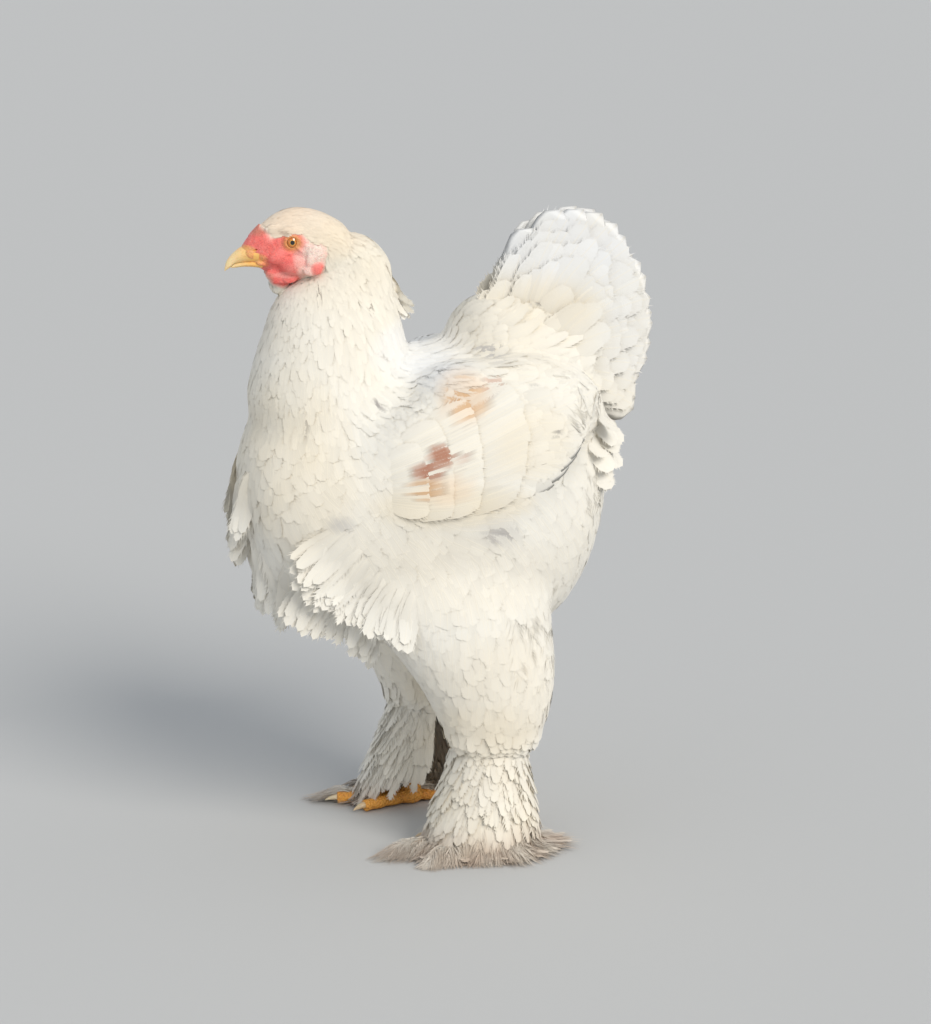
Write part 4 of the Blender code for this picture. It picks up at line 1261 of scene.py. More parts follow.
# How the coat lies: x, distance out and z, heading the same way, length, width, spacing,
# height over the skin
GUIDES = (
    (-162, 4, 598, 1, 0.1, 0.45, 7, 3.4, 2.0, 1.6),
    (-150, 10, 603, 1, 0.25, 0.3, 8, 3.8, 2.1, 1.8),
    (-130, 8, 608, 1, 0.1, 0, 9, 4.2, 2.3, 2.2),
    (-130, 20, 594, 1, 0.1, -0.1, 7, 3.6, 2.1, 2.0),
    (-108, 14, 602, 1, 0.2, -0.35, 12, 5, 2.7, 2.5),
    (-110, 25, 580, 0.9, 0, -0.3, 8, 3.6, 2.2, 2.2),
    (-92, 20, 585, 0.8, 0.1, -0.7, 14, 6, 3.2, 3),
    (-98, 25, 560, 0.5, 0, -1, 12, 5, 2.8, 3),
    (-126, 23, 550, 0.5, 0, -0.8, 6, 3.0, 2.0, 1.8),
    (-150, 8, 530, 0.1, 0, -1, 8, 3.8, 2.4, 2),
    (-125, 15, 533, 0.2, 0, -1, 12, 5, 2.8, 3),
    (-75, 10, 580, 0.6, 0, -1, 18, 8, 4.0, 4),
    (-50, 20, 550, 0.5, 0, -1, 24, 10, 4.8, 6),
    (-150, 0, 515, -0.15, 0, -1, 16, 8, 4.0, 5),
    (-120, 35, 515, 0, 0.1, -1, 22, 10, 4.4, 6),
    (-155, 15, 480, -0.1, 0, -1, 26, 12, 5.4, 7),
    (-165, 0, 450, -0.15, 0, -1, 28, 15, 6.2, 8),
    (-100, 60, 490, 0.05, 0.1, -1, 32, 14, 5.8, 8),
    (-40, 40, 500, 0.45, 0.05, -1, 34, 14, 5.8, 8),
    (-28, 0, 500, 0.6, 0, -1, 34, 14, 5.8, 8),
    (-30, 50, 455, 0.7, 0.05, -0.8, 40, 16, 6.6, 9),
    (-60, 75, 440, 0.5, 0, -0.9, 40, 17, 6.8, 9),
    (-110, 80, 430, 0.15, 0, -1, 38, 17, 6.8, 9),
    (-180, 0, 400, 0, 0, -1, 34, 20, 7.6, 9),
    (-192, 0, 345, 0.05, 0, -1, 36, 22, 8.2, 9),
    (-165, 60, 380, 0.25, 0, -1, 34, 20, 7.8, 9),
    (-185, 20, 300, 0.3, 0, -1, 40, 22, 8.2, 10),
    (-150, 70, 300, 0.5, 0, -0.9, 38, 22, 8.2, 9),
    (-165, 10, 260, 0.8, 0, -0.6, 40, 22, 8.4, 10),
    (-120, 100, 350, 0.6, 0, -0.8, 36, 20, 8.0, 9),
    (-115, 90, 270, 0.6, 0, -0.8, 40, 22, 8.4, 9),
    (-110, 30, 215, 1, 0, -0.25, 36, 22, 9, 9),
    (0, 20, 185, 1, 0, 0.05, 36, 22, 9.5, 8),
    (80, 20, 200, 1, 0, 0.3, 36, 22, 9.5, 8),
    (-20, 20, 480, 1, 0, -0.1, 36, 18, 7.2, 7),
    (0, 50, 470, 1, 0, -0.1, 36, 18, 7.2, 7),
    (20, 0, 505, 1, 0, 0.45, 36, 16, 6.8, 7),
    (45, 30, 518, 0.9, 0, 0.5, 40, 16, 6.8, 8),
    (60, 45, 490, 0.9, 0, 0.3, 44, 17, 7.0, 8),
    (100, 30, 500, 0.75, 0.1, 0.6, 44, 20, 8, 9),
    (115, 45, 470, 0.9, 0.1, 0.35, 44, 22, 8, 9),
    (130, 45, 430, 1, 0.1, 0, 42, 22, 8, 9),
    (150, 30, 400, 0.9, 0.1, -0.4, 40, 22, 8, 10),
    (158, 10, 360, 0.35, 0, -1, 38, 22, 8.2, 10),
    (140, 60, 360, 0.4, 0.1, -0.9, 38, 22, 8.2, 10),
    (140, 30, 300, 0.05, 0, -1, 38, 22, 8.2, 10),
    (100, 50, 240, -0.1, 0, -1, 38, 20, 8.4, 9),
    (60, 118, 340, 0.6, 0, -0.8, 38, 22, 8.2, 9),
    (110, 100, 340, 0.6, 0, -0.8, 38, 22, 8.2, 9),
    (20, 122, 300, 0.3, 0, -1, 38, 22, 8.2, 9),
    (-60, 118, 330, 0.6, 0, -0.8, 38, 22, 8.2, 9),
    (-80, 110, 280, -0.3, 0.1, -0.9, 42, 20, 8, 10),
    (-60, 118, 240, 0, 0.05, -1, 38, 20, 8, 9),
    (0, 126, 250, 0.1, 0, -1, 36, 20, 8, 9),
    (60, 122, 240, 0.25, 0, -1, 36, 20, 8, 9),
    (100, 76, 210, 0.3, 0, -1, 34, 20, 8, 9),
    (0, 126, 200, 0.05, 0, -1, 34, 18, 7.6, 9),
    (50, 128, 170, 0.1, 0, -1, 32, 18, 7.4, 9),
    (100, 76, 150, 0, 0, -1, 32, 18, 7.4, 9),
    (45, 118, 120, 0, -0.3, -1, 26, 15, 6.4, 8),
    (85, 76, 110, -0.4, 0, -1, 24, 14, 6.4, 8),
    (0, 76, 130, 0, 0, -1, 28, 16, 6.8, 9),
    (-40, 76, 200, 0, 0, -1, 34, 18, 7.4, 9),
    (20, 28, 220, 0.1, 0, -1, 32, 18, 9, 8),
    (45, 32, 150, 0, 0, -1, 30, 16, 8, 8),
    (-75, 118, 360, 0.5, 0.05, -0.85, 34, 20, 7.4, 8),
    (-80, 110, 420, 0.6, 0, -0.8, 34, 18, 7.4, 8),
    (-40, 124, 400, 0.8, 0, -0.55, 36, 20, 7.4, 9),
    (-40, 110, 450, 0.9, 0, -0.4, 36, 18, 7.4, 8),
    (0, 126, 400, 0.95, 0, -0.25, 38, 22, 8, 11),
    (0, 112, 450, 1, 0, -0.05, 38, 20, 8, 9),
    (40, 126, 420, 0.95, 0, 0.2, 42, 24, 9, 11),
    (40, 105, 465, 1, 0, 0.15, 40, 22, 8, 9),
    (90, 118, 450, 0.9, 0, 0.4, 42, 24, 9, 9),
    (0, 122, 350, 0.9, 0, 0.2, 40, 24, 9, 9),
)
CANDIDATES = 130000
HEAD_DENSITY = 9.0
COAT_PROFILE = (0, 0.45, 0.7, 0.85, 0.95, 1.0)
TIER_PROFILE = (0, 0.4, 0.7, 0.9, 1.0, 1.0)
COAT_LIFT = 0.4
SIZE_VARIES = 0.14
HEADING_STRAYS = 0.12
COAT_SPACING = 0.66
NECK_SPACING = 0.56
# Where the coat ends: width of its edge at the bare face, its lowest height, the place
# of the beak, and how far down its skin may look near the shanks
COAT_EDGE = 1.5
COAT_FLOOR = 100
BEAK_BEFORE, BEAK_ABOVE = -176, 500
UNDERSIDE = -0.75
# Before and above this the feathers are the neck's, set closer
NECK_FROM = (-10, 420)
# How much longer the coat's feathers are where they run out into the tail's fan, and
# where they hang over the shanks
FAN_LONGER = 1.35
FAN_FROM = (-20, 400)
FAN_ABOVE = 476
HEM_LONGER = 1.2
HEM_TOP = 150
HEM_OUT = 30
# Kinds of the coat's feathers, by their least and greatest length
SIZES = (("tiny", 0, 9), ("small", 9, 20), ("body", 20, 99))


def guided(places):
    """Heading, length, width, spacing and height of the coat at places."""
    table = np.array(GUIDES, float)
    side = np.where(places[:, 1] < 0, -1.0, 1.0)
    folded = places * np.stack([np.ones(len(places)), side, np.ones(len(places))], 1)
    made = np.zeros((len(places), 7))
    for start in range(0, len(places), 20000):
        part = folded[start:start + 20000]
        far = ((part[:, None] - table[None, :, :3]) ** 2).sum(2)
        weight = 1 / (far + 30) ** 2
        weight /= weight.sum(1, keepdims=True)
        made[start:start + 20000] = weight @ table[:, 3:]
    made[:, 1] *= side
    return made


def candidates(mesh):
    """Random places on the skin, even over its area, with its normals."""
    mesh.calc_loop_triangles()
    corners = np.empty(len(mesh.loop_triangles) * 3, np.int32)
    mesh.loop_triangles.foreach_get("vertices", corners)
    triangles = mesh_points(mesh)[corners.reshape(-1, 3)]
    cross = np.cross(triangles[:, 1] - triangles[:, 0], triangles[:, 2] - triangles[:, 0])
    size = np.linalg.norm(cross, axis=1) + 1e-12
    middles = triangles.mean(1)
    on_head = (middles[:, 0] < -85) & (middles[:, 2] > 525)
    chance = size * np.where(on_head, HEAD_DENSITY, 1.0)
    pick = RNG.choice(len(triangles), CANDIDATES, p=chance / chance.sum())
    a, b = RNG.random((2, CANDIDATES, 1))
    a, b = np.where(a + b > 1, 1 - a, a), np.where(a + b > 1, 1 - b, b)
    first, second, third = triangles[pick, 0], triangles[pick, 1], triangles[pick, 2]
    places = first + a * (second - first) + b * (third - first)
    return places, cross[pick] / size[pick][:, None]


def thinned(places, spacing):
    """Indices of places that keep their spacing from one another."""
    tree = kdtree.KDTree(len(places))
    for i, place in enumerate(places):
        tree.insert(place, i)
    tree.balance()
    free = np.ones(len(places), bool)
    kept = []
    for i in range(len(places)):
        if free[i]:
            kept.append(i)
            for _, j, _ in tree.find_range(places[i], spacing[i]):
                free[j] = False
    return np.array(kept)


# Where the coat is fluffy: x, z, half sizes, share of downy feathers
FLUFFY = ((150, 390, 45, 50, 0.4), (100, 240, 50, 50, 0.25))


def fluff(places):
    share = np.zeros(len(places))
    for x, z, half_x, half_z, most in FLUFFY:
        share = np.maximum(share, spot(places, x, z, half_x, half_z) * most)
    return share


# Borders of the coat's pieces: height, x, distance out
COAT_HEAD = (535, -80)
COAT_NECK = (425, -10)
COAT_TAIL = (372, 30, 84)
COAT_LEG = (290, -100, 30)
COAT_WING = (330, -95, 84)
BREAST_BEFORE = -60


def coat_part(place):
    """The piece that a root belongs to."""
    x, y, z = place
    if z > COAT_HEAD[0] and x < COAT_HEAD[1]:
        return "coat_head"
    if z > COAT_NECK[0] and x < COAT_NECK[1]:
        return "coat_neck"
    if z > COAT_TAIL[0] and x > COAT_TAIL[1] and abs(y) < COAT_TAIL[2]:
        return "coat_tail"
    if z < COAT_LEG[0] and x > COAT_LEG[1] and abs(y) > COAT_LEG[2]:
        return "coat_leg_left" if y < 0 else "coat_leg_right"
    if z > COAT_WING[0] and x > COAT_WING[1] and abs(y) > COAT_WING[2]:
        return "coat_wings"
    return "coat_breast" if x < BREAST_BEFORE else "coat_back"


def coat_roots(mesh):
    """Places of the coat's feathers on the skin, and how the coat lies there."""
    places, normals = candidates(mesh)
    field = guided(places)
    x, z = places[:, 0], places[:, 2]
    keep = (bareness(places, COAT_EDGE) < 0.3) & (z > COAT_FLOOR)
    keep &= ~((x < BEAK_BEFORE) & (z > BEAK_ABOVE))
    keep &= (z > HEM_TOP) | (normals[:, 2] > UNDERSIDE)
    places, field = places[keep], field[keep]
    on_neck = (places[:, 2] > NECK_FROM[1]) & (places[:, 0] < NECK_FROM[0])
    kept = thinned(places, field[:, 5] * np.where(on_neck, NECK_SPACING, COAT_SPACING))
    return places[kept], field[kept]


def body_coat(coat, mesh):
    """Small feathers over the whole skin."""
    places, field = coat_roots(mesh)
    count = len(places)
    vary = 1 + SIZE_VARIES * (RNG.random((count, 3)) * 2 - 1)
    headings = field[:, :3] / (np.linalg.norm(field[:, :3], axis=1, keepdims=True) + 1e-9)
    headings = headings + HEADING_STRAYS * RNG.normal(size=(count, 3))
    lengths = field[:, 3] * vary[:, 0]
    widths = field[:, 4] * vary[:, 1]
    heights = field[:, 6] * vary[:, 2] * COAT_LIFT
    spots, outs = coat.lie(places, headings, lengths, heights, COAT_PROFILE)
    names = np.array([coat_part(p) for p in places])

    def lengthen(pick, longer, ways, follow, free):
        lengths[pick] *= longer
        spots[pick], outs[pick] = coat.lie(
            places[pick], ways, lengths[pick], heights[pick], COAT_PROFILE, follow, free
        )

    fan = np.nonzero((names == "coat_tail") & (places[:, 2] > FAN_ABOVE))[0]
    rays = (places[fan] - np.array((FAN_FROM[0], 0, FAN_FROM[1]))) * (1, 0.2, 1)
    rays /= np.linalg.norm(rays, axis=1, keepdims=True) + 1e-9
    lengthen(fan, FAN_LONGER, headings[fan] + rays, 0.6, rays * 3)
    hem = np.nonzero((places[:, 2] < HEM_TOP) & (np.abs(places[:, 1]) > HEM_OUT))[0]
    lengthen(hem, HEM_LONGER, headings[hem], 0.5, np.tile((0.0, 0.0, -3.0), (len(hem), 1)))
    for name in sorted(set(names)):
        mine = np.nonzero(names == name)[0]
        for kind, low, high in SIZES:
            pick = mine[(lengths[mine] >= low) & (lengths[mine] < high)]
            style = "hackle" if kind == "body" and name == "coat_neck" else kind
            fluffy = (RNG.random(len(pick)) < fluff(places[pick])) & (kind == "body")
            for style, chosen in ((style, pick[~fluffy]), ("down", pick[fluffy])):
                coat.add(name, style, spots[chosen], outs[chosen], widths[chosen], places[chosen])


# Wing tiers: lowest root, highest root (along, up), count, lengths from the lowest
# feather to the highest, angles in the same way, width, height, kind
WING_TIERS = (
    ((-0.20, -0.78), (-0.12, 0.12), 12, (84, 114, 130, 132, 122), (21, 24, 25, 25, 24), 30, 2.4, "flight"),
    ((-0.46, -0.62), (-0.24, 0.56), 18, (66, 80, 86, 84, 78), (17, 21, 25, 28, 29), 30, 6.6, "body"),
    ((-0.66, -0.50), (-0.44, 0.66), 22, (54, 60, 62, 60, 56), (12, 17, 22, 26, 28), 27, 7.0, "body"),
    ((-0.80, -0.36), (-0.66, 0.62), 24, (46, 50, 52, 50, 46), (4, 12, 18, 24, 26), 25, 7.0, "body"),
    ((-0.92, -0.16), (-0.84, 0.44), 22, (40, 42, 44, 42, 40), (-6, 4, 12, 18, 22), 24, 6.4, "body"),
)


def tier_name(kind):
    return "flights" if kind == "flight" else "coverts"


def wing_place(side, along, up):
    """A point over the wing's outer face, from its length and height as shares."""
    pitch = math.radians(WING_PITCH)
    x, y, z = WING_MIDDLE
    a, b = along * WING_HALF[0], up * WING_HALF[2]
    return (
        x + a * math.cos(pitch) - b * math.sin(pitch),
        side * (y + 40),
        z + a * math.sin(pitch) + b * math.cos(pitch),
    )


class Row:
    """Feathers whose middle lines are laid one by one."""

    def __init__(self):
        self.lines, self.outs, self.widths = [], [], []

    def lay(self, line, out, width):
        self.lines.append([tuple(p) for p in line])
        self.outs.append([tuple(p) for p in out])
        self.widths.append(width)

    def arrays(self):
        return np.array(self.lines, float), np.array(self.outs, float), np.array(self.widths)


def wing_feathers(coat):
    for name, side in SIDES.items():
        for low, high, count, lengths, angles, width, height, kind in WING_TIERS:
            roots, headings, sizes = [], [], []
            for share in shares(count):
                along, up = (a + (b - a) * share for a, b in zip(low, high))
                angle = math.radians(between(angles, share) + draw(-1, 1))
                roots.append(wing_place(side, along, up))
                headings.append((math.cos(angle), 0, math.sin(angle)))
                sizes.append(between(lengths, share) * draw(1, 1.04))
            heights = height + 1.2 * np.linspace(1, 0, count)
            spots, outs = coat.lie(roots, headings, sizes, heights, TIER_PROFILE)
            piece = f"wing_{name}_{tier_name(kind)}"
            coat.add(piece, kind, spots, outs, np.full(count, float(width)), roll=3)


# Tail tiers: top and lowest angle, feathers a side, least and most share of the full reach,
# where the row starts sideways, topmost and lowest tip sideways, width, distance of the
# root, kind
TAIL_TIERS = (
    (90, -6, 17, (0.985, 1.0), 6, (9, 34), 40, 30, "flight"),
    (100, -4, 28, (0.93, 0.98), 9, (11, 37), 34, 30, "fan"),
    (112, 0, 42, (0.80, 0.95), 12, (15, 42), 34, 32, "fan"),
    (120, 0, 48, (0.64, 0.88), 16, (19, 50), 32, 32, "fan"),
    (122, 2, 50, (0.48, 0.76), 21, (24, 56), 32, 30, "fan"),
    (122, 6, 44, (0.38, 0.60), 26, (28, 60), 30, 28, "fan"),
    (64, -34, 36, (0.44, 0.66), 36, (54, 62), 30, 34, "fan"),
)
# Reach of the tail's upright feathers at angles above the level
FRONT_REACH = ((70, 178), (84, 168), (90, 152), (99, 126), (112, 102), (136, 86))


def tail_reach(angle):
    """Length of a tail feather that stands at an angle above the level, in degrees."""
    if angle > FRONT_REACH[0][0]:
        return float(np.interp(angle, *zip(*FRONT_REACH)))
    return max(TAIL_REACH * (1 - 0.42 * ((70 - angle) / 70) ** 1.1), TAIL_SHORTEST)


def tail_feathers(coat):
    """The tail's flight feathers in a fan, and the soft coverts over them."""
    for top, low, count, reaches, inner, outer, width, start, kind in TAIL_TIERS:
        row = Row()
        for part in shares(count):
            for side in SIDES.values():
                angle = top + (low - top) * part + draw(-2, 2)
                wide = between(outer, part)
                reach = tail_reach(angle) * between(reaches, RNG.random())
                line, out = [], []
                for t in STEP_SHARES:
                    far = start + (reach - start) * t
                    tilt = math.radians(angle - TAIL_BEND * t * t)
                    cos, sin = math.cos(tilt), math.sin(tilt)
                    y = inner + (wide - inner) * far / TAIL_REACH + 2 * math.sin(math.pi * t)
                    line.append((TAIL_ROOT[0] + far * cos, side * y, TAIL_ROOT[1] + far * sin))
                    out.append(Vector((-sin * TAIL_LEAN, side, cos * TAIL_LEAN)).normalized())
                row.lay(line, out, width * draw(0.9, 1.1))
        coat.add(f"tail_{tier_name(kind)}", kind, *row.arrays(), roll=4)


# Loose feathers in tufts: root and tip as x, out, z, width, feathers, kind
LOOSE = (
    ((-168, 26, 362), (-204, 24, 300), 18, 7, "body"),
    ((-172, 10, 350), (-200, 8, 290), 18, 7, "fan"),
    ((-164, 44, 372), (-196, 48, 318), 18, 7, "body"),
    ((-160, 36, 316), (-184, 42, 252), 18, 7, "body"),
    ((-150, 50, 306), (-171, 57, 240), 18, 7, "loose"),
    ((-160, 10, 310), (-182, 10, 246), 18, 7, "fan"),
    ((-138, 66, 300), (-157, 76, 236), 18, 7, "body"),
    ((-80, 98, 338), (-134, 116, 298), 17, 9, "body"),
    ((-78, 97, 330), (-130, 118, 282), 17, 9, "fan"),
    ((-74, 100, 320), (-122, 118, 270), 17, 9, "loose"),
    ((-70, 101, 312), (-112, 118, 262), 17, 9, "body"),
    ((-64, 103, 304), (-100, 119, 254), 17, 9, "loose"),
    ((-56, 104, 296), (-88, 120, 246), 17, 9, "body"),
    ((-48, 106, 290), (-76, 120, 238), 17, 9, "body"),
    ((-40, 108, 284), (-62, 121, 232), 17, 9, "fan"),
    ((-30, 110, 278), (-48, 121, 226), 17, 9, "body"),
    ((-100, 84, 316), (-141, 94, 244), 17, 8, "fan"),
    ((-96, 82, 300), (-132, 92, 231), 17, 8, "body"),
    ((-84, 86, 284), (-112, 95, 226), 17, 8, "loose"),
    ((-70, 88, 272), (-94, 97, 222), 17, 8, "body"),
    ((-60, 72, 262), (-84, 80, 206), 17, 8, "body"),
    ((-54, 6, 540), (-17, 5, 526), 10, 3, "hackle"),
    ((-50, 12, 530), (-26, 9, 509), 10, 3, "hackle"),
    ((126, 34, 440), (180, 36, 424), 26, 4, "fan"),
    ((126, 42, 430), (178, 50, 412), 26, 4, "fan"),
    ((126, 46, 420), (170, 56, 398), 26, 4, "fan"),
    ((124, 50, 410), (162, 62, 384), 26, 4, "fan"),
    ((122, 54, 402), (154, 66, 366), 26, 4, "fan"),
    ((128, 18, 430), (176, 20, 408), 26, 4, "fan"),
    ((128, 16, 410), (166, 18, 376), 26, 4, "fan"),
)
# How far the feathers of a tuft stray, their height over the skin, and the share of
# their length that lies on it
LOOSE_SPREAD = 4.5
LOOSE_HEIGHT = 6.5
LOOSE_FOLLOW = 0.42
LOOSE_LONGER = 1.08
# Tufts rooted beyond this width and below this height stand with their leg
THIGH_TUFTS = (80, 300)
# How far their flat sides are turned outwards
LOOSE_SIDEWAYS = 1.1


def loose_feathers(coat):
    """The ragged feathers of the breast, the flank, the nape and the tail's foot."""
    for side in SIDES.values():
        for root, tip, width, copies, kind in LOOSE:
            on_thigh = root[1] > THIGH_TUFTS[0] and root[2] < THIGH_TUFTS[1]
            shift = stride(side)(root[2]) if on_thigh else 0
            spread = LOOSE_SPREAD * width / LOOSE[0][2]
            roots = (np.array(root) + RNG.normal(size=(copies, 3)) * spread) * (1, side, 1)
            ways = (np.array(tip) + RNG.normal(size=(copies, 3)) * spread) * (1, side, 1) - roots
            roots[:, 0] += shift
            lengths = np.linalg.norm(ways, axis=1)
            ways /= lengths[:, None]
            heights = LOOSE_HEIGHT * (0.6 + 0.6 * RNG.random(copies))
            lengths *= LOOSE_LONGER
            spots, outs = coat.lie(roots, ways, lengths, heights, COAT_PROFILE, LOOSE_FOLLOW, ways * 5)
            outs = outs + np.array((0, side * LOOSE_SIDEWAYS, 0))
            outs /= np.linalg.norm(outs, axis=2, keepdims=True)
            widths = width * (0.85 + 0.3 * RNG.random(copies))
            coat.add("loose_feathers", kind, spots, outs, widths, roll=8, soft=0.15)


def stained(colours, made, along, across):
    """Brown stains on feathers near the floor, stronger towards their tips."""
    low = np.clip((34 - made[:, :, 2]) / 26, 0, 1) * np.clip(along * 1.6 - 0.1, 0, 1)[None]
    patch = 0.62 + 0.38 * waves(made.reshape(-1, 3), 7).reshape(low.shape)
    amount = (low * patch * 0.85)[:, :, None]
    return colours * (1 - amount) + STAIN * amount


# The skirt of feathers round a shank: height, half depth, half width outwards
BELL = (
    (0, 60, 44),
    (22, 58, 42),
    (44, 53, 39),
    (66, 47, 36),
    (88, 41, 33),
    (110, 38, 31),
    (132, 40, 33),
    (154, 44, 35),
)
BELL_INWARDS = 0.55
# The skirt's sector in degrees, from straight ahead outwards: its start near the floor
# and higher up, and its end
BARE_FROM = (22, -105)
BARE_HEIGHTS = (34, 78)
BARE_TO = 206
# Rows of the skirt: height of the roots, feathers, length
SHANK_ROWS = tuple((148 - 7.5 * i, 40 + i, 40 + i) for i in range(18))
# Least and greatest height of the tips by the floor
LOWEST = (1.5, 6.5)
# Height of the roots under which the feathers are ragged plumes
PLUMES_BELOW = 58


def bell_at(z):
    """Half depth and half width of the skirt at a height."""
    heights, depths, widths = zip(*BELL)
    share = (z - heights[0]) / (heights[-1] - heights[0])
    return between(depths, share), between(widths, share)


def shank_feather(side, angle, root, length, floor, puff):
    """Middle line and outward directions of a feather of the skirt."""
    top, foot = shank_line(side)
    out = Vector((-math.cos(angle), side * math.sin(angle), 0))
    line, up = [], []
    for t in STEP_SHARES:
        z = root - length * t
        beyond = max(floor - z, 0)
        z = max(z, floor)
        deep, wide = bell_at(z)
        if out.y * side < 0:
            wide *= BELL_INWARDS
        reach = (0.72 + 0.28 * t ** 0.7) * puff
        middle = top.lerp(foot, clamped((top.z - z) / (top.z - foot.z)))
        flare = beyond * (0.75 - 0.5 * abs(out.y))
        reached = Vector((out.x * deep, out.y * wide, 0)) * reach + out * flare
        line.append((middle.x + reached.x, middle.y + reached.y, z))
        up.append((out + Vector((0, 0, 0.35 + beyond * 0.05))).normalized())
    return line, up


def leg_feathers(coat):
    """Long soft feathers down the shanks and out from the toes."""
    for name, side in SIDES.items():
        row = Row()
        for height, count, length in SHANK_ROWS:
            inmost = between(BARE_FROM, (height - BARE_HEIGHTS[0]) / (BARE_HEIGHTS[1] - BARE_HEIGHTS[0]))
            for i in range(count):
                angle = math.radians(inmost + (BARE_TO - inmost) * (i + RNG.random()) / count)
                long = length * draw(0.85, 1.15)
                root = height + draw(-2.5, 2.5)
                floor = draw(*LOWEST)
                puff = draw(0.9, 1.02)
                line, up = shank_feather(side, angle, root, long, floor, puff)
                row.lay(line, up, draw(10, 17))
        spots, outs, widths = row.arrays()
        low = spots[:, 0, 2] < PLUMES_BELOW
        kinds = RNG.integers(0, 2, len(spots)) + 2 * low
        piece = f"leg_feathers_{name}"
        for i, kind in enumerate(("body", "loose", "hackle", "plume")):
            pick = kinds == i
            coat.add(piece, kind, spots[pick], outs[pick], widths[pick], paint=stained)
        toe_feathers(coat, piece, side)


# Feathers of the toes: toe, feathers, length
TOE_FANS = (("middle", 46, 50), ("outer", 60, 50))
# Feathers of the heel, and their turn in degrees from straight ahead
HEEL_COUNT = 90
HEEL_TURN = (60, 190)
# How far out sideways the feathers of the feet reach
FEET_OUT = 122


def toe_feathers(coat, piece, side):
    """Feathers that fan from the outer toes and the heel and lie near the floor."""
    row = Row()

    def lay(root, heading, length):
        heading = heading.normalized()
        beyond = abs(root.y + heading.y * length) - FEET_OUT
        if beyond > 0:
            length -= beyond / abs(heading.y)
        lift = draw(3, 12)
        sway = Vector((-heading.y, heading.x, 0)) * draw(-5, 5)
        line = []
        for t in STEP_SHARES:
            spot = root + heading * (length * t - 5) + sway * t * t
            spot.z = max(6 + lift * math.sin(math.pi * (0.15 + 0.85 * t)) - 4 * t, 1.4)
            line.append(spot)
        row.lay(line, [(0, 0, 1)] * (STEPS + 1), draw(11, 17))

    for toe, count, long in TOE_FANS:
        start, end, ahead = toe_line(side, toe)
        across = Vector((-ahead.y, ahead.x, 0))
        across *= 1 if across.y * side > 0 else -1
        for _ in range(count):
            share = RNG.random()
            root = start.lerp(end, 0.1 + 0.85 * share)
            heading = across * (1 - 0.75 * share) + ahead * (0.25 + 0.75 * share)
            lay(root, heading, long * (0.7 + 0.3 * share) * draw(0.7, 1.05))
    x, y = foot_place(side)
    for _ in range(HEEL_COUNT):
        angle = math.radians(draw(*HEEL_TURN))
        heading = Vector((-math.cos(angle), side * math.sin(angle), 0))
        root = Vector((x + 6, y + side * 10, 10)) + heading * draw(0, 16)
        lay(root, heading, draw(34, 60))
    coat.add(piece, "plume", *row.arrays(), paint=stained, soft=0.4, roll=20)


# Hard parts

def make_eyes():
    material = eye_finish()
    for name, side in SIDES.items():
        shell = ball((EYE[0], side * EYE[1], EYE[2]), (EYE_RADIUS,) * 3, 48, 32)
        obj = as_object(f"eye_{name}_ball", shell)
        obj.data.shade_smooth()
        finished(obj, material, [f"eye_{name}"])


def make_beak():
    """Upper and lower beak, parted at the mouth's line."""
    base_x, tip_x = -168 * MM + SHIFT.x, -194 * MM + SHIFT.x
    horn = horn_finish("beak_horn", (1.0, 0.55, 0.15), (1.0, 0.76, 0.40), base_x, tip_x)
    upper = as_object("beak_top", loft_x(BEAK_UPPER_ROWS, 40, 36))
    lower = as_object("beak_under", loft_x(BEAK_LOWER_ROWS, 36, 28))
    mould = as_object("mould", moved_in(loft_x(BEAK_UPPER_ROWS, 40, 36), -0.3))
    boolean(lower, "DIFFERENCE", [mould])
    for obj, node in ((upper, "beak_upper"), (lower, "beak_lower")):
        obj.data.shade_smooth()
        obj.data.set_sharp_from_angle(angle=math.radians(50))
        finished(obj, horn, [node])


def make_claws():
    for name, side in SIDES.items():
        x = foot_place(side)[0]
        base_x, tip_x = (x - 40) * MM + SHIFT.x, (x - 100) * MM + SHIFT.x
        horn = horn_finish(f"claw_horn_{name}", (0.66, 0.50, 0.30), (0.80, 0.68, 0.46), base_x, tip_x)
        shells = []
        for toe in TOES:
            _, end, ahead = toe_line(side, toe)
            radius = TOES[toe][3] * CLAW_THICK

            def claw(share):
                middle = end + ahead * (CLAW_LENGTH * share - 1.5)
                middle.z += 1.4 - CLAW_DROP * share * share
                return middle, radius * (1 - share ** 1.8) + 0.25

            shells.append(tube(14, claw, 16, 0.85))
        obj = as_object(f"claws_{name}", joined(shells))
        obj.data.shade_smooth()
        finished(obj, horn, [f"claw_{toe}_{name}" for toe in TOES])


FLESH = ["head", "neck", "torso", "tail", "comb"]
for name in SIDES:
    FLESH += [f"{part}_{name}" for part in ("wing", "thigh", "shank", "foot", "wattle", "earlobe")]


def dress_skin(skin):
    """Colours of the skin, by the same markings as the coat."""
    colours, bare, scaly = skin_colours(mesh_points(skin.data))
    painted_mesh(skin.data, colours, Bare=bare, Scaly=scaly)
    finished(skin, skin_finish(), FLESH)


# Stage

FLOOR_HALF = 25
# Where the key light comes from, and how strong and wide it is
KEY_FROM = (0.55, -1.0, 0.80)
KEY_ENERGY = 2.2
KEY_ANGLE = 0.55
CAMERA_TURN = 8
CAMERA_RISE = 14
CAMERA_FAR = 2.6
CAMERA_LENS = 96.15
CAMERA_AIM = (27.4, 0, 313.6)


def make_floor():
    shell = bmesh.new()
    bmesh.ops.create_grid(shell, x_segments=1, y_segments=1, size=FLOOR_HALF)
    floor = as_object("floor", shell)
    floor.data.materials.append(floor_finish())


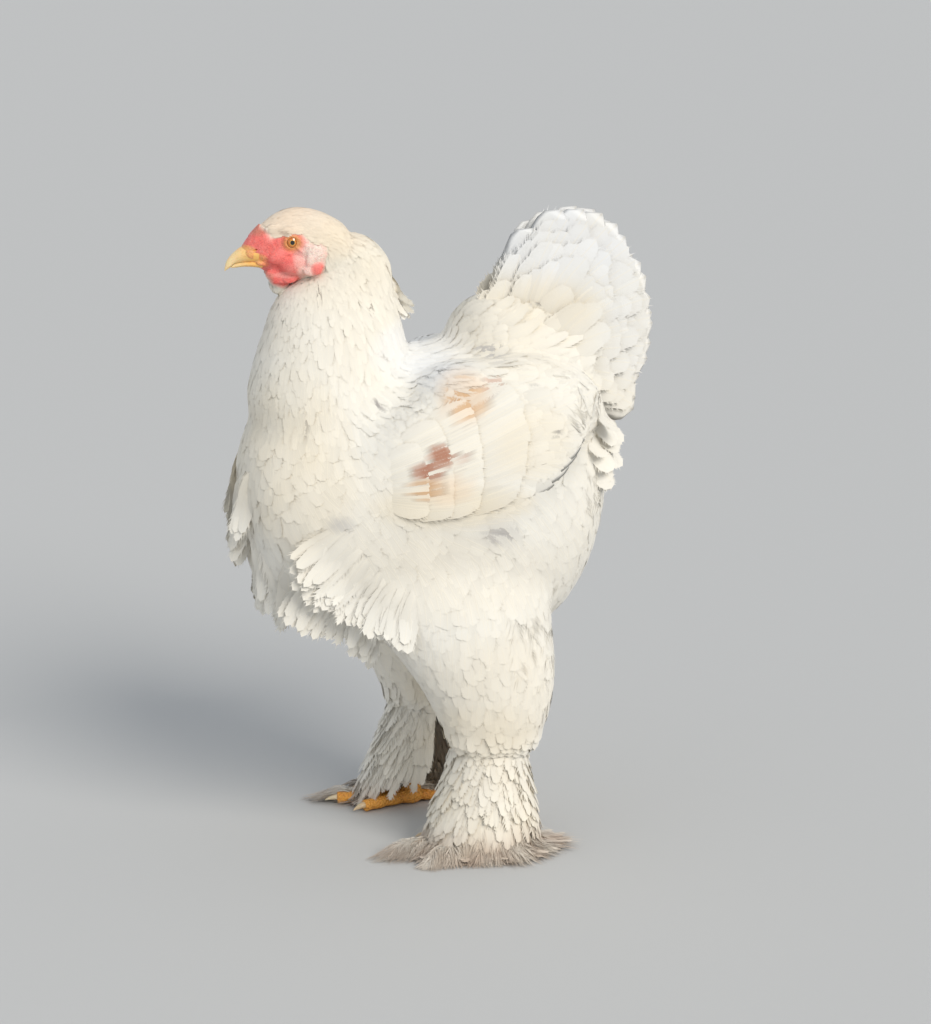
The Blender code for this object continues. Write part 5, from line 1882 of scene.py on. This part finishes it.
def area_light(name, place, aim, energy, size, colour):
    lamp = bpy.data.lights.new(name, "AREA")
    lamp.energy, lamp.size, lamp.color = energy, size, colour
    obj = linked(name, lamp)
    obj.location = place
    obj.rotation_euler = (Vector(aim) - Vector(place)).to_track_quat("-Z", "Y").to_euler()


def make_light():
    bpy.context.scene.view_settings.view_transform = "Standard"
    world = bpy.data.worlds.new("studio")
    world.use_nodes = True
    back = world.node_tree.nodes["Background"]
    back.inputs["Color"].default_value = (0.86, 0.92, 1.0, 1)
    back.inputs["Strength"].default_value = 0.62
    bpy.context.scene.world = world
    key = bpy.data.lights.new("key", "SUN")
    key.energy, key.angle, key.color = KEY_ENERGY, KEY_ANGLE, (1.0, 0.965, 0.91)
    linked("key", key).rotation_euler = Vector(KEY_FROM).to_track_quat("Z", "Y").to_euler()
    area_light("fill", (-2.2, -1.6, 1.1), (0, 0, 0.3), 3, 1.8, (0.86, 0.93, 1.0))


def make_camera():
    turn, rise = math.radians(CAMERA_TURN), math.radians(CAMERA_RISE)
    level = math.cos(rise)
    away = Vector((-math.sin(turn) * level, -math.cos(turn) * level, math.sin(rise)))
    data = bpy.data.cameras.new("camera")
    data.lens = CAMERA_LENS
    data.sensor_width = 36
    camera = linked("camera", data)
    camera.location = Vector(CAMERA_AIM) * MM + SHIFT + away * CAMERA_FAR
    camera.rotation_euler = (-away).to_track_quat("-Z", "Y").to_euler()
    bpy.context.scene.camera = camera


def main():
    skin = make_skin()
    shell = bmesh.new()
    shell.from_mesh(skin.data)
    tree = BVHTree.FromBMesh(shell)
    shell.free()
    coat = Coat(tree, unwrapped(body_shells() + head_shells() + leg_shells(-1) + leg_shells(1)))
    body_coat(coat, skin.data)
    wing_feathers(coat)
    tail_feathers(coat)
    loose_feathers(coat)
    leg_feathers(coat)
    dress_skin(skin)
    soft, stiff = feather_finish("plumage", 420), feather_finish("flight_plumage", 900)
    coat.pieces(lambda piece: stiff if piece.endswith("flights") else soft)
    make_eyes()
    make_beak()
    make_claws()
    make_floor()
    make_light()
    make_camera()


main()
bpy.context.view_layer.update()
